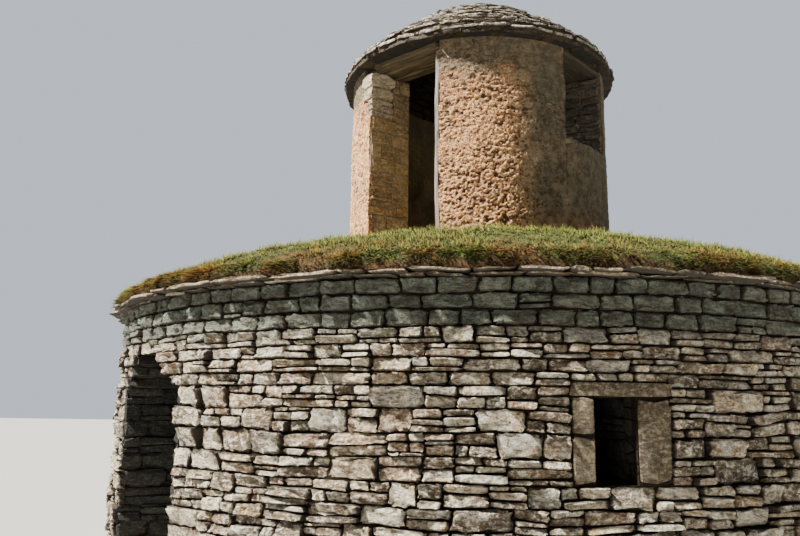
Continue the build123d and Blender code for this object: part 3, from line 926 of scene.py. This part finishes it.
def ring_cells(rng, radius, low, high, lengths, uneven):
    """Slabs laid end to end right round at one height."""
    start = rng.uniform(0, 1)
    joints = upright_joints(rng, start, start + arc(FULL_TURN, radius), lengths)
    cells = []
    for (left, left_head), (right, right_head) in zip(joints[:-1], joints[1:]):
        base = low + rng.uniform(-uneven, uneven)
        top = high + rng.uniform(-uneven, uneven)
        lean = rng.uniform(-uneven, uneven)
        heights = (base - lean, base + lean, top + lean, top - lean)
        cells.append(tuple(zip((left, right, right_head, left_head), heights)))
    return cells


def lay_cornice():
    """Thin overhanging slabs on the wall head, in place of the plain ring."""
    rng = random.Random(19)
    batches = []
    for level, (low, high, stand) in enumerate(CORNICE_LAYERS):
        cells = ring_cells(rng, DRUM_RADIUS, DRUM_HEIGHT + low, DRUM_HEIGHT + high, (0.14, 0.7, 0.3), 0.009)
        batches.append(fit_stones(cells, round_wall(DRUM_RADIUS), SLABS, 300 + level, joint=0.01, stand=stand,
                                  back=-0.33, tilt=0.026, ripple=0.006, tone=(0.0, 0.9), droop=0.006,
                                  grit=0.008, reach=CORNICE_RADIUS - DRUM_RADIUS - 0.004))
    piece = joined("cornice_slabs", batches, CORNICE_STONE)
    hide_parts("cornice_front_right", "cornice_back_right", "cornice_back_left", "cornice_front_left")


def roof_radius(height):
    """Outer radius of the roof at a height above the eave."""
    share = max(1 - (height - EAVE_TOP) / (ROOF_TOP - EAVE_TOP), 0.0)
    return ROOF_RADIUS * share ** (1 / ROOF_CURVE)


def roof_layers():
    """Layers of slabs as (foot, thickness, radius, proud, joint), the two at the eave first.

    Each course of the roof is a recessed layer, darkened as painted shade, under a pale proud one.
    """
    yield TURRET_TOP - 0.014, 0.066, ROOF_RADIUS, False, 0.006
    yield TURRET_TOP + 0.044, 0.06, ROOF_RADIUS - 0.006, True, 0.006
    course = (ROOF_TOP - EAVE_TOP) / ROOF_COURSES
    for number in range(ROOF_COURSES):
        low = EAVE_TOP + number * course
        core = roof_radius(low + course / 2)
        yield low, course * 0.52, core + 0.004, False, 0.014
        yield low + course * 0.52, course * 0.48, core, True, 0.016


def lay_roof():
    """Split stone slabs in rough layers, proud and recessed by turns, the recessed ones darkened as painted
    shade.
    """
    rng = random.Random(23)
    batches = {True: [], False: []}
    for number, (low, thick, radius, proud, joint) in enumerate(roof_layers()):
        eave = number < 2
        length = min(0.27, radius * 0.9)
        near = min(radius / ROOF_RADIUS * 1.1 - 0.2, 1.0)
        foot, head = (0.012, 0.0 if eave else 0.008) if proud else (0.005, 0.0)
        cells = ring_cells(rng, radius, low + foot, low + thick + head, (length * 0.45, length * 1.9, length),
                           0.008)
        proud_stand = (0.018, 0.042) if eave else (0.002, 0.022 + 0.02 * near)
        deep_stand = (0.002, 0.016) if eave else (-0.012, 0.006)
        # Recessed layers take a low tone and the dark recess material: painted shade under the proud layers
        batches[proud].append(fit_stones(
            cells, round_wall(radius), SLABS, 400 + number, joint=joint, back=-min(0.3, radius - 0.01),
            stand=proud_stand if proud else deep_stand, tone=(0.0, 0.8 if proud else 0.4),
            tilt=0.007 if eave else 0.014, ripple=0.005, droop=0.012 * (1 - near),
            reach=0.052 if eave else 1.0, limits=(TURRET_TOP - 0.003, ROOF_TOP - 0.004)))
    joined("roof_slabs", batches[True], ROOF_STONE)
    joined("roof_recess_shade", batches[False], ROOF_RECESS_SHADE)


def lay_slipped_slabs():
    """Slabs that have slid out on the right of the roof and lie askew, one over the other."""
    rng = random.Random(5)
    low, high = (corner.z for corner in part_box("roof_slipped_slabs"))
    half = (high - low) / 2
    turn = math.radians(SLIPPED_AZIMUTH + SLIPPED_TURN)
    middle = ring(math.radians(SLIPPED_AZIMUTH), SLIPPED_RADIUS, 0.0)
    batches = []
    for level in range(2):
        foot = low + half * level
        places, faces, turned, _ = box_on_bearing(
            0.0, -SLIPPED_WIDTH / 2, SLIPPED_WIDTH / 2, -SLIPPED_DEPTH, 0.012 * level, foot + 0.001,
            foot + half - 0.001, rng, (6, 4, 1), 0.007)
        x, y, z = np.moveaxis(places, -1, 0)
        y = y + 0.03 * np.clip(np.abs(x) / SLIPPED_WIDTH * 2 - 0.55, 0, 1)
        places = np.stack([middle[0] + x * math.cos(turn) - y * math.sin(turn),
                           middle[1] + x * math.sin(turn) + y * math.cos(turn), np.clip(z, low, high)], -1)
        batches.append((places, faces, turned, plain_tones(places, 0.5 + 0.3 * level, 0.1)))
    piece = joined("slipped_slabs", batches, ROOF_STONE)
    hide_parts("roof_slipped_slabs")


def turf_height(radius):
    """Height of the turf's skin at a radius, lower than its outline by the room that its blades take."""
    share = (radius - TURRET_RADIUS) / (TURF_RADIUS - TURRET_RADIUS)
    return TURF_RIM + (TURF_TOP - TURF_RIM) * (1 - share ** 2) - BLADE_ROOM * np.clip(share * 2.2, 0, 1)


def turf_surface(azimuth, share):
    """Lumpy turf from under its rounded rim (share 0) up to the turret's foot (share 1)."""
    turn = np.radians(azimuth)
    bend = fade(share, 0, RIM_SHARE) * math.pi / 2
    slope = fade(share, RIM_SHARE, 1 - RIM_SHARE)
    edge = TURF_RADIUS - 0.045
    crest = edge - RIM_ROUND
    radius = np.where(share < RIM_SHARE, edge - RIM_ROUND * (1 - np.cos(bend)),
                      crest + (TURRET_RADIUS - 0.02 - crest) * slope)
    foot = CORNICE_TOP - 0.006
    rim = foot + (turf_height(crest) - foot) * np.sin(bend)
    height = np.where(share < RIM_SHARE, rim, turf_height(radius))
    flat = ring(turn, radius, height)
    swell = 0.5 + 0.5 * lumps(flat, 0.42, 1)
    rise = swell * 0.03 + lumps(flat, 0.13, 2) * 0.018 + lumps(flat, 0.06, 3) * 0.010
    ragged = lumps(flat * [1, 1, 0.2], 0.33, 4) * 0.5 + lumps(flat, 0.09, 5) * 0.5
    radius = radius + (0.006 + 0.028 * ragged) * np.clip(1 - slope * 12, 0, 1)
    return ring(turn, radius, height + rise * np.sin(bend))


def lay_turf():
    """Turf skin in closed sectors, in place of the plain banded turf."""
    points, faces = unit_sheet(*TURF_GRID)
    sheets = []
    for sector in range(TURF_SECTORS):
        azimuth = (sector + points[:, 0]) * FULL_TURN / TURF_SECTORS
        places = turf_surface(azimuth, points[:, 1])
        behind = points[:, 2:] < -0.5
        under = np.stack([places[:, 0] * 0.985, places[:, 1] * 0.985,
                          np.maximum(places[:, 2] - 0.045, CORNICE_TOP - 0.008)], -1)
        places = np.where(behind, under, places)
        sheets.append((places[None], faces, True, np.full((1, len(places), 4), 0.5)))
    piece = joined("turf_skin", sheets, TURF_SOIL, 1.3)
    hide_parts("turf_front_right", "turf_back_right", "turf_back_left", "turf_front_left")


def lay_blades(name, seed, count, azimuths, shares, tall, lean, rise):
    """Short blades of turf as thin closed spikes, denser and taller where they stand in tufts."""
    rng = np.random.default_rng(seed)
    azimuth = rng.uniform(*azimuths, count)
    reach = (TURF_RADIUS - TURRET_RADIUS) / TURRET_RADIUS
    spread = rng.uniform((1 + reach * (1 - shares[1])) ** 2, (1 + reach * (1 - shares[0])) ** 2, count)
    share = 1 - (np.sqrt(spread) - 1) / reach
    foot = turf_surface(azimuth, share)
    tufts = lumps(foot, 0.21, 7) * 0.6 + lumps(foot, 0.085, 8) * 0.7
    keep = rng.random(count) < 0.62 + 0.8 * tufts
    foot, tufts, turn = foot[keep], tufts[keep], np.radians(azimuth[keep])
    count = len(foot)
    length = rng.uniform(*tall, count) * (1 + 0.9 * tufts)
    outward = ring(turn, 1.0, np.zeros(count))
    along = rng.normal(0, 0.5, (count, 3)) * [1, 1, 0.35] + outward * lean + [0, 0, rise]
    along = along / np.linalg.norm(along, axis=1, keepdims=True) * length[:, None]
    side = np.cross(along, [0.31, 0.17, 0.93])
    side /= np.linalg.norm(side, axis=1, keepdims=True)
    other = np.cross(along / length[:, None], side)
    wide = rng.uniform(0.002, 0.0052, count)[:, None]
    points, faces = BLADE
    across = points[None, :, :1] * (side * wide)[:, None] + points[None, :, 1:2] * (other * wide)[:, None]
    places = foot[:, None] + across + (points[None, :, 2:] - 0.12) * along[:, None]
    far = np.hypot(places[..., 0], places[..., 1])
    places[..., :2] *= np.minimum(1.0, (CORNICE_RADIUS - 0.006) / far)[..., None]
    places[..., 2] = np.maximum(places[..., 2], CORNICE_TOP - 0.03)
    tones = np.empty((count, len(points), 4))
    tones[...] = rng.uniform(0, 1, (count, 1, 4))
    tones[..., 1] = points[None, :, 2]
    return joined(name, [(places, faces, False, tones)], TURF_BLADES, 0.0)


# Turret

def render_surface(azimuth, height, ragged):
    """Pitted render round the turret: places, painted shade for hollows and holes, and wear; ragged is the
    sides' unevenness.
    """
    turn = np.radians(azimuth)
    flat = ring(turn, TURRET_RADIUS, height)
    edge = lumps(flat, 0.09, 11) * 0.014 + lumps(flat, 0.3, 12) * 0.012
    turn = turn + ragged * edge / TURRET_RADIUS
    swell = lumps(flat, 0.62, 13) * 0.008 + lumps(flat, 0.24, 14) * 0.005
    flakes = np.tanh(lumps(flat * [1, 1, 2.0], 0.05, 15) * 3) * 0.4
    flakes = flakes + lumps(flat * [1, 1, 1.5], 0.024, 16) * 0.75
    clods = np.tanh(lumps(flat * [1, 1, 1.3], 0.04, 22) * 3) * 0.34
    clods = clods + lumps(flat * [1, 1, 1.2], 0.022, 23) * 0.85
    lying = fade(height, 4.3, 0.5)
    rough = 0.85 + 0.55 * lumps(flat, 0.3, 24) + 0.3 * lumps(flat, 0.11, 25)
    clods = (flakes * lying + clods * (1 - lying)) * np.clip(rough, 0.2, 1.5)
    grit = lumps(flat, 0.021, 19)
    worn = np.clip(lumps(flat, 0.5, 17) * 0.6 + lumps(flat, 0.16, 18) * 0.7 - 0.42, 0, 1) * 2.2
    worn = np.clip(worn, 0, 1)
    front = azimuth % FULL_TURN
    by_window = fade(front, 16, 20) * (front < 75) * 0.45
    calm = np.clip(1 - (fade(height, 5.0, 0.5) * 0.5 + by_window), 0.3, 1)
    cut = np.zeros_like(height)
    for place, level, half_long, half_tall in SLITS:
        across = arc(1.0, TURRET_RADIUS) * (azimuth - place) / half_long
        up = (height - level) / half_tall
        cut = np.maximum(cut, np.clip(1.6 - (across ** 2 + up ** 2), 0, 1))
    out = 0.019 + swell + (clods * 0.0105 + grit * 0.007) * calm - worn * 0.012 - cut * 0.035
    # Painted shade for the low parts of the clods, the grit's hollows and the holes
    hollow_shade = np.clip((-clods - 0.06) * calm * 1.5 + np.maximum(-grit, 0) * 0.45, 0, 0.9) + cut
    return ring(turn, TURRET_RADIUS + np.maximum(out, -0.028), height), hollow_shade, worn


def render_strips():
    """Strips of render as (first and last azimuth, top, ragged left, ragged right, pitch of their grid)."""
    window_left, window_right = TURRET_WINDOW
    door_left = TURRET_DOOR[0] + FULL_TURN
    parting = 11.7
    yield TURRET_DOOR[1], parting, TURRET_TOP, 1, 0, 0.0095
    yield parting, window_left, TURRET_TOP, 0, 1, 0.0105
    yield window_left, window_right, WINDOW_SILL, 0, 0, 0.018
    quoins = door_left - QUOIN_ANGLE
    count = 8
    for number in range(count):
        first = window_right + (quoins - window_right) * number / count
        last = window_right + (quoins - window_right) * (number + 1) / count
        yield first, last, TURRET_TOP, number == 0, 0, 0.013 if number == count - 1 else 0.024
    yield quoins, door_left, QUOIN_FOOT, 0, 1, 0.015


def lay_render():
    """The turret's render in closed strips between its doorway and its window."""
    sheets = []
    low = TURF_TOP - 0.06
    for first, last, top, left, right, pitch in render_strips():
        columns = max(3, round(arc(last - first, TURRET_RADIUS) / pitch))
        points, faces = unit_sheet(columns, round((top - low) / pitch))
        u, v, depth = points.T
        line = np.stack([u, u * 0, u * 0], -1)
        head = -0.002
        if top == WINDOW_SILL:
            head = lumps(line * 0.9, 0.13, 21) * 0.03 - 0.07 * np.clip(1 - u * 4, 0, 1)
        if top == QUOIN_FOOT:
            head = np.clip((0.8 - u) / 0.3, 0, 1) * 0.2 + lumps(line, 0.13, 26) * 0.012
        height = low + v * (top + head - low)
        ragged = left * (u == 0) + right * (u == 1)
        places, hollow_shade, worn = render_surface(first + u * (last - first), height, ragged)
        places = np.where(depth[:, None] < -0.5, places * [0.97, 0.97, 1.0], places)
        tones = np.stack([hollow_shade, worn, u * 0, u * 0 + 1], -1)
        sheets.append((places[None], faces, False, tones[None]))
    joined("turret_render", sheets, RENDER, 1.3)


def lay_turret_reveals():
    """Stained blocks on the doorway's jambs, rough dark stones on the window's."""
    rng = random.Random(91)
    inner = TURRET_RADIUS - TURRET_WALL
    left, right = TURRET_DOOR
    batches = []
    for jamb, side, seed, inset, low, high, courses, lengths, stand in (
            (left, 1, 93, 0.004, TURF_TOP - 0.01, QUOIN_FOOT, 10, (0.13, 0.36, 0.22), (0.014, 0.024)),
            (left, 1, 92, 0.302, QUOIN_FOOT, LINTEL_UNDERSIDE - 0.004, 3, (0.1, 0.26, 0.16), (0.008, 0.016)),
            (right, -1, 94, 0.06, TURF_TOP, LINTEL_UNDERSIDE, 13, (0.13, 0.36, 0.22), (0.012, 0.02))):
        field = (inner, TURRET_RADIUS - inset, low, high)
        batches.append(lay_jamb(rng, jamb, side, field, courses, lengths, 0.85, SQUARED, seed,
                                joint=0.006, stand=stand, tilt=0.003, tone=(0.1, 0.7)))
    joined("turret_door_reveals", batches, STAINED_STONE)
    field = (inner, TURRET_RADIUS - 0.002, WINDOW_SILL, WINDOW_HEAD)
    batches = [lay_jamb(rng, jamb, side, field, 9, (0.14, 0.4, 0.25), 0.75, RUBBLE, 95 + side, wave=0.01,
                        joint=0.008, stand=(0.03, 0.055), tone=(0.0, 0.55))
               for jamb, side in ((TURRET_WINDOW[0], 1), (TURRET_WINDOW[1], -1))]
    joined("turret_window_reveals", batches, SHADED_STONE)
    cells = ring_cells(rng, TURRET_RADIUS, WINDOW_SILL - 0.008, WINDOW_SILL + 0.036, (0.12, 0.3, 0.2), 0.012)
    first, last = (arc(azimuth, TURRET_RADIUS) for azimuth in TURRET_WINDOW)
    cells = [cell for cell in cells if first + 0.02 < cell[0][0] and cell[1][0] < last - 0.02]
    batch = fit_stones(cells, round_wall(TURRET_RADIUS), SLABS, 97, joint=0.02, stand=(-0.05, 0.012),
                       back=-0.5, tilt=0.02, tone=(0.0, 0.6))
    joined("turret_window_sill", [batch], SHADED_STONE)


def box_on_bearing(azimuth, left, right, inner, outer, low, high, rng, cuts, wobble):
    """A worn squared block facing an azimuth, as a batch of one, its own axes kept for its grain."""
    breaks = [tuple(np.linspace(0, 1, count + 2)) for count in cuts]
    points, faces = unit_block(cuts, breaks, rng, 0.0, 0.0, (0.0, 0.0))
    size = np.array([right - left, outer - inner, high - low])
    wear = np.array([[rng.uniform(-1, 1) for axis in range(3)] for point in points]) * wobble
    local = points * size + np.array([left, inner, low]) + wear * np.array([0.3, 1.0, 1.0])
    turn = math.radians(azimuth)
    x, y, z = local[:, 0], local[:, 1], local[:, 2]
    places = np.stack([x * math.cos(turn) + y * math.sin(turn),
                       x * math.sin(turn) - y * math.cos(turn), z], -1)
    grain = np.concatenate([local + rng.uniform(0, 9), np.ones((len(local), 1))], axis=1)
    return places[None], faces, True, grain[None]


def lay_lintel(name, azimuth, width, depth, node, seed):
    """Timbers side by side over an opening of the turret, sagging a little and worn."""
    rng = random.Random(seed)
    face = TURRET_RADIUS * math.cos(math.asin(width / 2 / TURRET_RADIUS))
    pitch = (face - TURRET_RADIUS + TURRET_WALL + TIMBER_JOINT) / LINTEL_TIMBERS
    top = TURRET_TOP - 0.001
    batches = []
    for number in range(LINTEL_TIMBERS):
        outer = face - number * pitch
        half = min(width / 2 + TIMBER_BEARING, math.sqrt((TURRET_RADIUS - 0.004) ** 2 - outer ** 2))
        batches.append(box_on_bearing(azimuth, -half, half, outer - pitch + TIMBER_JOINT, outer,
                                      top - depth + rng.uniform(0.0, 0.04), top, rng, (9, 2, 2), 0.005))
    piece = joined(name, batches, TIMBER, 0.7)
    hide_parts(node)


def lay_post():
    """The slightly bowed post at the doorway's right jamb."""
    rng = random.Random(3)
    low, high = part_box("turret_door_post")
    jamb = TURRET_DOOR[1]
    places, faces, turned, grain = box_on_bearing(
        jamb, *POST_SIDES, TURRET_RADIUS + POST_FACES[0], TURRET_RADIUS + POST_FACES[1], low.z, high.z, rng,
        (2, 2, 26), 0.0022)
    share = (places[..., 2] - low.z) / (high.z - low.z)
    turn = math.radians(jamb)
    bow = -0.006 * np.sin(math.pi * share) + 0.004 * np.sin(5 * math.pi * share)
    places[..., 0] += bow * math.cos(turn)
    places[..., 1] += bow * math.sin(turn)
    piece = joined("turret_post", [(places, faces, turned, grain)], POST, 0.7)
    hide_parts("turret_door_post")


def lay_quoins():
    """Squared stones that jut from the head of the doorway's left jamb, the top one worn round."""
    rng = random.Random(8)
    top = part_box("turret_door_quoins")[1].z
    batches = []
    for number, (tall, left, inward, jut, worn_round) in enumerate(QUOINS):
        places, faces, turned, _ = box_on_bearing(
            TURRET_DOOR[0], left, inward, TURRET_RADIUS - 0.3, TURRET_RADIUS + jut, top - tall, top - 0.001,
            rng, (6, 5, 4), 0.007)
        centre = places.mean(axis=1, keepdims=True)
        away = (places - centre) / np.abs(places - centre).max(axis=1, keepdims=True)
        rounded = np.clip((away ** 2).sum(-1, keepdims=True) - 1.1, 0, 2) * worn_round
        places = places - (places - centre) * rounded
        places = places + lumps(places, 0.05, 41)[..., None] * (places - centre) * 0.06
        tones = plain_tones(places, 0.95 - 0.15 * number, 0.35 - 0.3 * (number % 2))
        batches.append((places, faces, turned, tones))
        top -= tall + QUOIN_JOINT
    piece = joined("turret_quoins", batches, QUOIN_STONE)
    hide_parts("turret_door_quoins")


# Studio

def look_frame():
    """Sets the camera where the photograph was taken from."""
    level = Vector((math.cos(YAW), math.sin(YAW), 0.0))
    ahead = Vector((-math.sin(YAW), math.cos(YAW), 0.0))
    rise = Vector((0.0, 0.0, 1.0))
    forward = ahead * math.cos(PITCH) + rise * math.sin(PITCH)
    upward = rise * math.cos(PITCH) - ahead * math.sin(PITCH)
    right = level * math.cos(ROLL) - upward * math.sin(ROLL)
    upward = level * math.sin(ROLL) + upward * math.cos(ROLL)
    lens = bpy.data.cameras.new("photo_camera")
    lens.lens = LENS
    lens.sensor_width = SENSOR_WIDTH
    lens.sensor_fit = "HORIZONTAL"
    lens.clip_end = 200.0
    camera = in_scene("photo_camera", lens)
    pose = Matrix((right, upward, -forward)).transposed().to_4x4()
    pose.translation = Vector(EYE)
    camera.matrix_world = pose
    bpy.context.scene.camera = camera


def light_studio():
    """Soft light from the upper left and a pale surround."""
    sun = bpy.data.lights.new("key_light", "SUN")
    sun.energy = SUN_ENERGY
    sun.angle = math.radians(4.0)
    sun.color = (1.0, 0.955, 0.89)
    towards = ring(math.radians(SUN_AZIMUTH), math.cos(SUN_ELEVATION), math.sin(SUN_ELEVATION))
    in_scene("key_light", sun).matrix_world = Vector(towards).to_track_quat("Z", "Y").to_matrix().to_4x4()
    world = bpy.data.worlds.new("studio_surround")
    world.use_nodes = True
    g = Graph(world.node_tree)
    g.tree.nodes.clear()
    glow = g.place("ShaderNodeBackground", {"Color": (0.80, 0.88, 1.0), "Strength": 0.19})[0]
    backdrop = g.place("ShaderNodeBackground", {"Color": (0.78, 0.86, 0.96), "Strength": 0.85})[0]
    seen = g.place("ShaderNodeLightPath", {})["Is Camera Ray"]
    surround = g.place("ShaderNodeMixShader", {0: seen, 1: glow, 2: backdrop})[0]
    g.place("ShaderNodeOutputWorld", {"Surface": surround})
    bpy.context.scene.world = world


def lay_floor():
    mesh = bpy.data.meshes.new("studio_floor")
    bm = bmesh.new()
    bmesh.ops.create_grid(bm, x_segments=1, y_segments=1, size=60.0)
    bm.to_mesh(mesh)
    bm.free()
    mesh.materials.append(MaterialGraph("studio_floor").finish((0.33, 0.325, 0.31), 0.9))
    floor = in_scene("studio_floor", mesh)


def dress_cad_nodes():
    """Gives every carried-over CAD node its material."""
    finishes = {"drum_": DRUM_CORE, "vault_": DRUM_CORE, "cornice_": CORNICE_STONE, "turf_": TURF_SOIL,
                "turret_wall": TURRET_CORE, "turret_floor": FLAG_STONE, "turret_door_threshold": FLAG_STONE,
                "turret_door_hook": IRON, "turret_door_quoins": SQUARED_STONE, "turret_": TIMBER,
                "roof_": ROOF_CORE}
    for name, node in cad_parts.items():
        material = next(material for start, material in finishes.items() if name.startswith(start))
        node.data.materials.clear()
        node.data.materials.append(material)


RUBBLE = block_family(3, (3, 1, 2), ((0, 0.1, 0.5, 0.9, 1), (0, 0.74, 1), (0, 0.2, 0.8, 1)), 0.2, 0.24, 16)
BOULDERS = block_family(2, (6, 1, 4), (
    (0, 0.07, 0.22, 0.41, 0.6, 0.78, 0.93, 1), (0, 0.74, 1), (0, 0.13, 0.36, 0.64, 0.87, 1)), 0.28, 0.25, 24)
CHIPS = block_family(4, (2, 1, 1), ((0, 0.16, 0.84, 1), (0, 0.74, 1), (0, 0.5, 1)), 0.22, 0.24, 12)
SQUARED = block_family(5, (3, 1, 2), ((0, 0.07, 0.5, 0.93, 1), (0, 0.84, 1), (0, 0.1, 0.9, 1)), 0.12, 0.1)
SLABS = block_family(8, (4, 2, 1), (
    (0, 0.2, 0.42, 0.66, 0.86, 1), (0, 0.6, 0.92, 1), (0, 0.5, 1)), 0.16, 0.12, 12)
BLADE = unit_blade()

ROCK_GRAIN = rock_grain_group()
WEATHER = weather_group()
TURF_PATCHES = turf_group()
LIMESTONE = [(0.0, (0.78, 0.61, 0.38)), (0.16, (0.98, 0.92, 0.72)), (0.30, (0.62, 0.46, 0.28)),
             (0.44, (0.42, 0.26, 0.14)), (0.56, (0.94, 0.84, 0.60)), (0.70, (0.70, 0.50, 0.26)),
             (0.82, (0.20, 0.14, 0.085)), (0.92, (0.88, 0.76, 0.51))]
WALL_STONE = block_material("wall_limestone", LIMESTONE, (0.044, 0.030, 0.018), (1.0, 0.95, 0.80),
                            depth=0.09, green=0.84, pale=0.8)
# Painted shade: near-black stone for the shaded reveals of the drum's doorway and small window
SHADED_DOORWAY_STONE = block_material("shaded_doorway_limestone", [
    (0.0, (0.062, 0.065, 0.043)), (0.4, (0.09, 0.088, 0.06)), (0.8, (0.043, 0.038, 0.027)),
    (1.0, (0.075, 0.075, 0.055))],
    (0.012, 0.010, 0.008), (0.15, 0.15, 0.115), pale=0.3)
# Tan-olive stone of the small window's frame, made darker in part as painted shade
SQUARED_STONE = block_material("squared_limestone", [
    (0.0, (0.25, 0.19, 0.10)), (0.35, (0.33, 0.265, 0.155)), (0.7, (0.16, 0.12, 0.063)),
    (1.0, (0.27, 0.21, 0.12))],
    (0.035, 0.025, 0.014), (0.50, 0.44, 0.31), depth=0.06, pale=0.45)
QUOIN_STONE = block_material("quoin_limestone", [
    (0.0, (0.50, 0.40, 0.25)), (0.35, (0.62, 0.52, 0.35)), (0.7, (0.40, 0.31, 0.19)),
    (1.0, (0.56, 0.46, 0.31))],
    (0.08, 0.055, 0.03), (0.80, 0.70, 0.50), depth=0.045)
SHADED_STONE = block_material("shaded_limestone", [
    (0.0, (0.17, 0.14, 0.10)), (0.4, (0.23, 0.19, 0.14)), (0.8, (0.12, 0.095, 0.065)),
    (1.0, (0.20, 0.17, 0.13))],
    (0.03, 0.024, 0.017), (0.32, 0.30, 0.24), depth=0.04, pale=0.3)
STAINED_STONE = block_material("stained_limestone", [
    (0.0, (0.54, 0.32, 0.105)), (0.3, (0.42, 0.285, 0.13)), (0.55, (0.55, 0.385, 0.18)),
    (0.8, (0.32, 0.22, 0.10)), (1.0, (0.59, 0.35, 0.12))],
    (0.11, 0.066, 0.03), (0.55, 0.46, 0.29), depth=0.035)
# under: painted shade on the lower part of each cornice slab
CORNICE_STONE = block_material("cornice_limestone", [
    (0.0, (0.44, 0.33, 0.195)), (0.4, (0.58, 0.46, 0.295)), (0.75, (0.28, 0.19, 0.105)),
    (1.0, (0.50, 0.375, 0.235))],
    (0.05, 0.042, 0.026), (0.76, 0.68, 0.50), pale=0.6, under=0.85)
# under: painted shade on the lower part of each roof slab
ROOF_STONE = block_material("roof_limestone", [
    (0.0, (0.62, 0.52, 0.38)), (0.14, (0.98, 0.92, 0.76)), (0.30, (0.20, 0.11, 0.06)),
    (0.44, (0.72, 0.60, 0.43)), (0.56, (0.13, 0.07, 0.035)), (0.70, (0.94, 0.86, 0.68)),
    (0.84, (0.26, 0.22, 0.10)), (0.96, (0.80, 0.70, 0.52))],
    (0.022, 0.013, 0.007), (1.0, 0.95, 0.82), scale=1.5, pale=0.75, under=0.6)
# Painted shade: the dark colour of the recessed roof layers
ROOF_RECESS_SHADE = block_material("roof_recess_shade", [
    (0.0, (0.13, 0.08, 0.05)), (0.4, (0.07, 0.04, 0.025)), (0.8, (0.17, 0.125, 0.08)),
    (1.0, (0.08, 0.065, 0.035))],
    (0.012, 0.008, 0.005), (0.30, 0.27, 0.20), depth=0.05, pale=0.2)
FLAG_STONE = core_material("floor_flags", NO_FACE, (0.36, 0.31, 0.24), (0.10, 0.08, 0.06))
# Painted shade: the drum's core is darkened for its shaded rooms seen through the doorway, the roof's core
# for the shaded underside of the eave
DRUM_CORE = core_material("drum_core", DRUM_RADIUS, (0.062, 0.052, 0.038), (0.010, 0.008, 0.006))
ROOF_CORE = core_material("roof_core", NO_FACE, (0.075, 0.056, 0.034))
TURRET_CORE = turret_core_material()
RENDER = render_material()
TURF_SOIL = turf_material("turf_and_soil", True)
TURF_BLADES = turf_material("turf_blades", False)
TIMBER = timber_material()
POST = post_material()
IRON = iron_material()

dress_cad_nodes()
lay_drum()
lay_drum_reveals()
lay_small_window()
lay_cornice()
lay_roof()
lay_slipped_slabs()
lay_turf()
for quarter, (count, rim_count) in enumerate(BLADE_COUNTS):
    quarter_arc = (quarter * 90 - 90, quarter * 90)
    lay_blades(f"turf_blades_{quarter + 1}", 600 + quarter, count, quarter_arc,
               shares=(0.09, 1.0), tall=(0.025, 0.07), lean=0.1, rise=1.0)
    lay_blades(f"rim_blades_{quarter + 1}", 700 + quarter, rim_count, quarter_arc,
               shares=(0.0, 0.14), tall=(0.04, 0.09), lean=0.75, rise=-0.1)
lay_render()
lay_turret_reveals()
lay_quoins()
lay_lintel("turret_door_timbers", sum(TURRET_DOOR) / 2, *DOOR_TIMBERS, "turret_door_lintel", 15)
lay_lintel("turret_window_boards", sum(TURRET_WINDOW) / 2, *WINDOW_BOARDS, "turret_window_lintel", 16)
lay_post()
lay_floor()
light_studio()
look_frame()
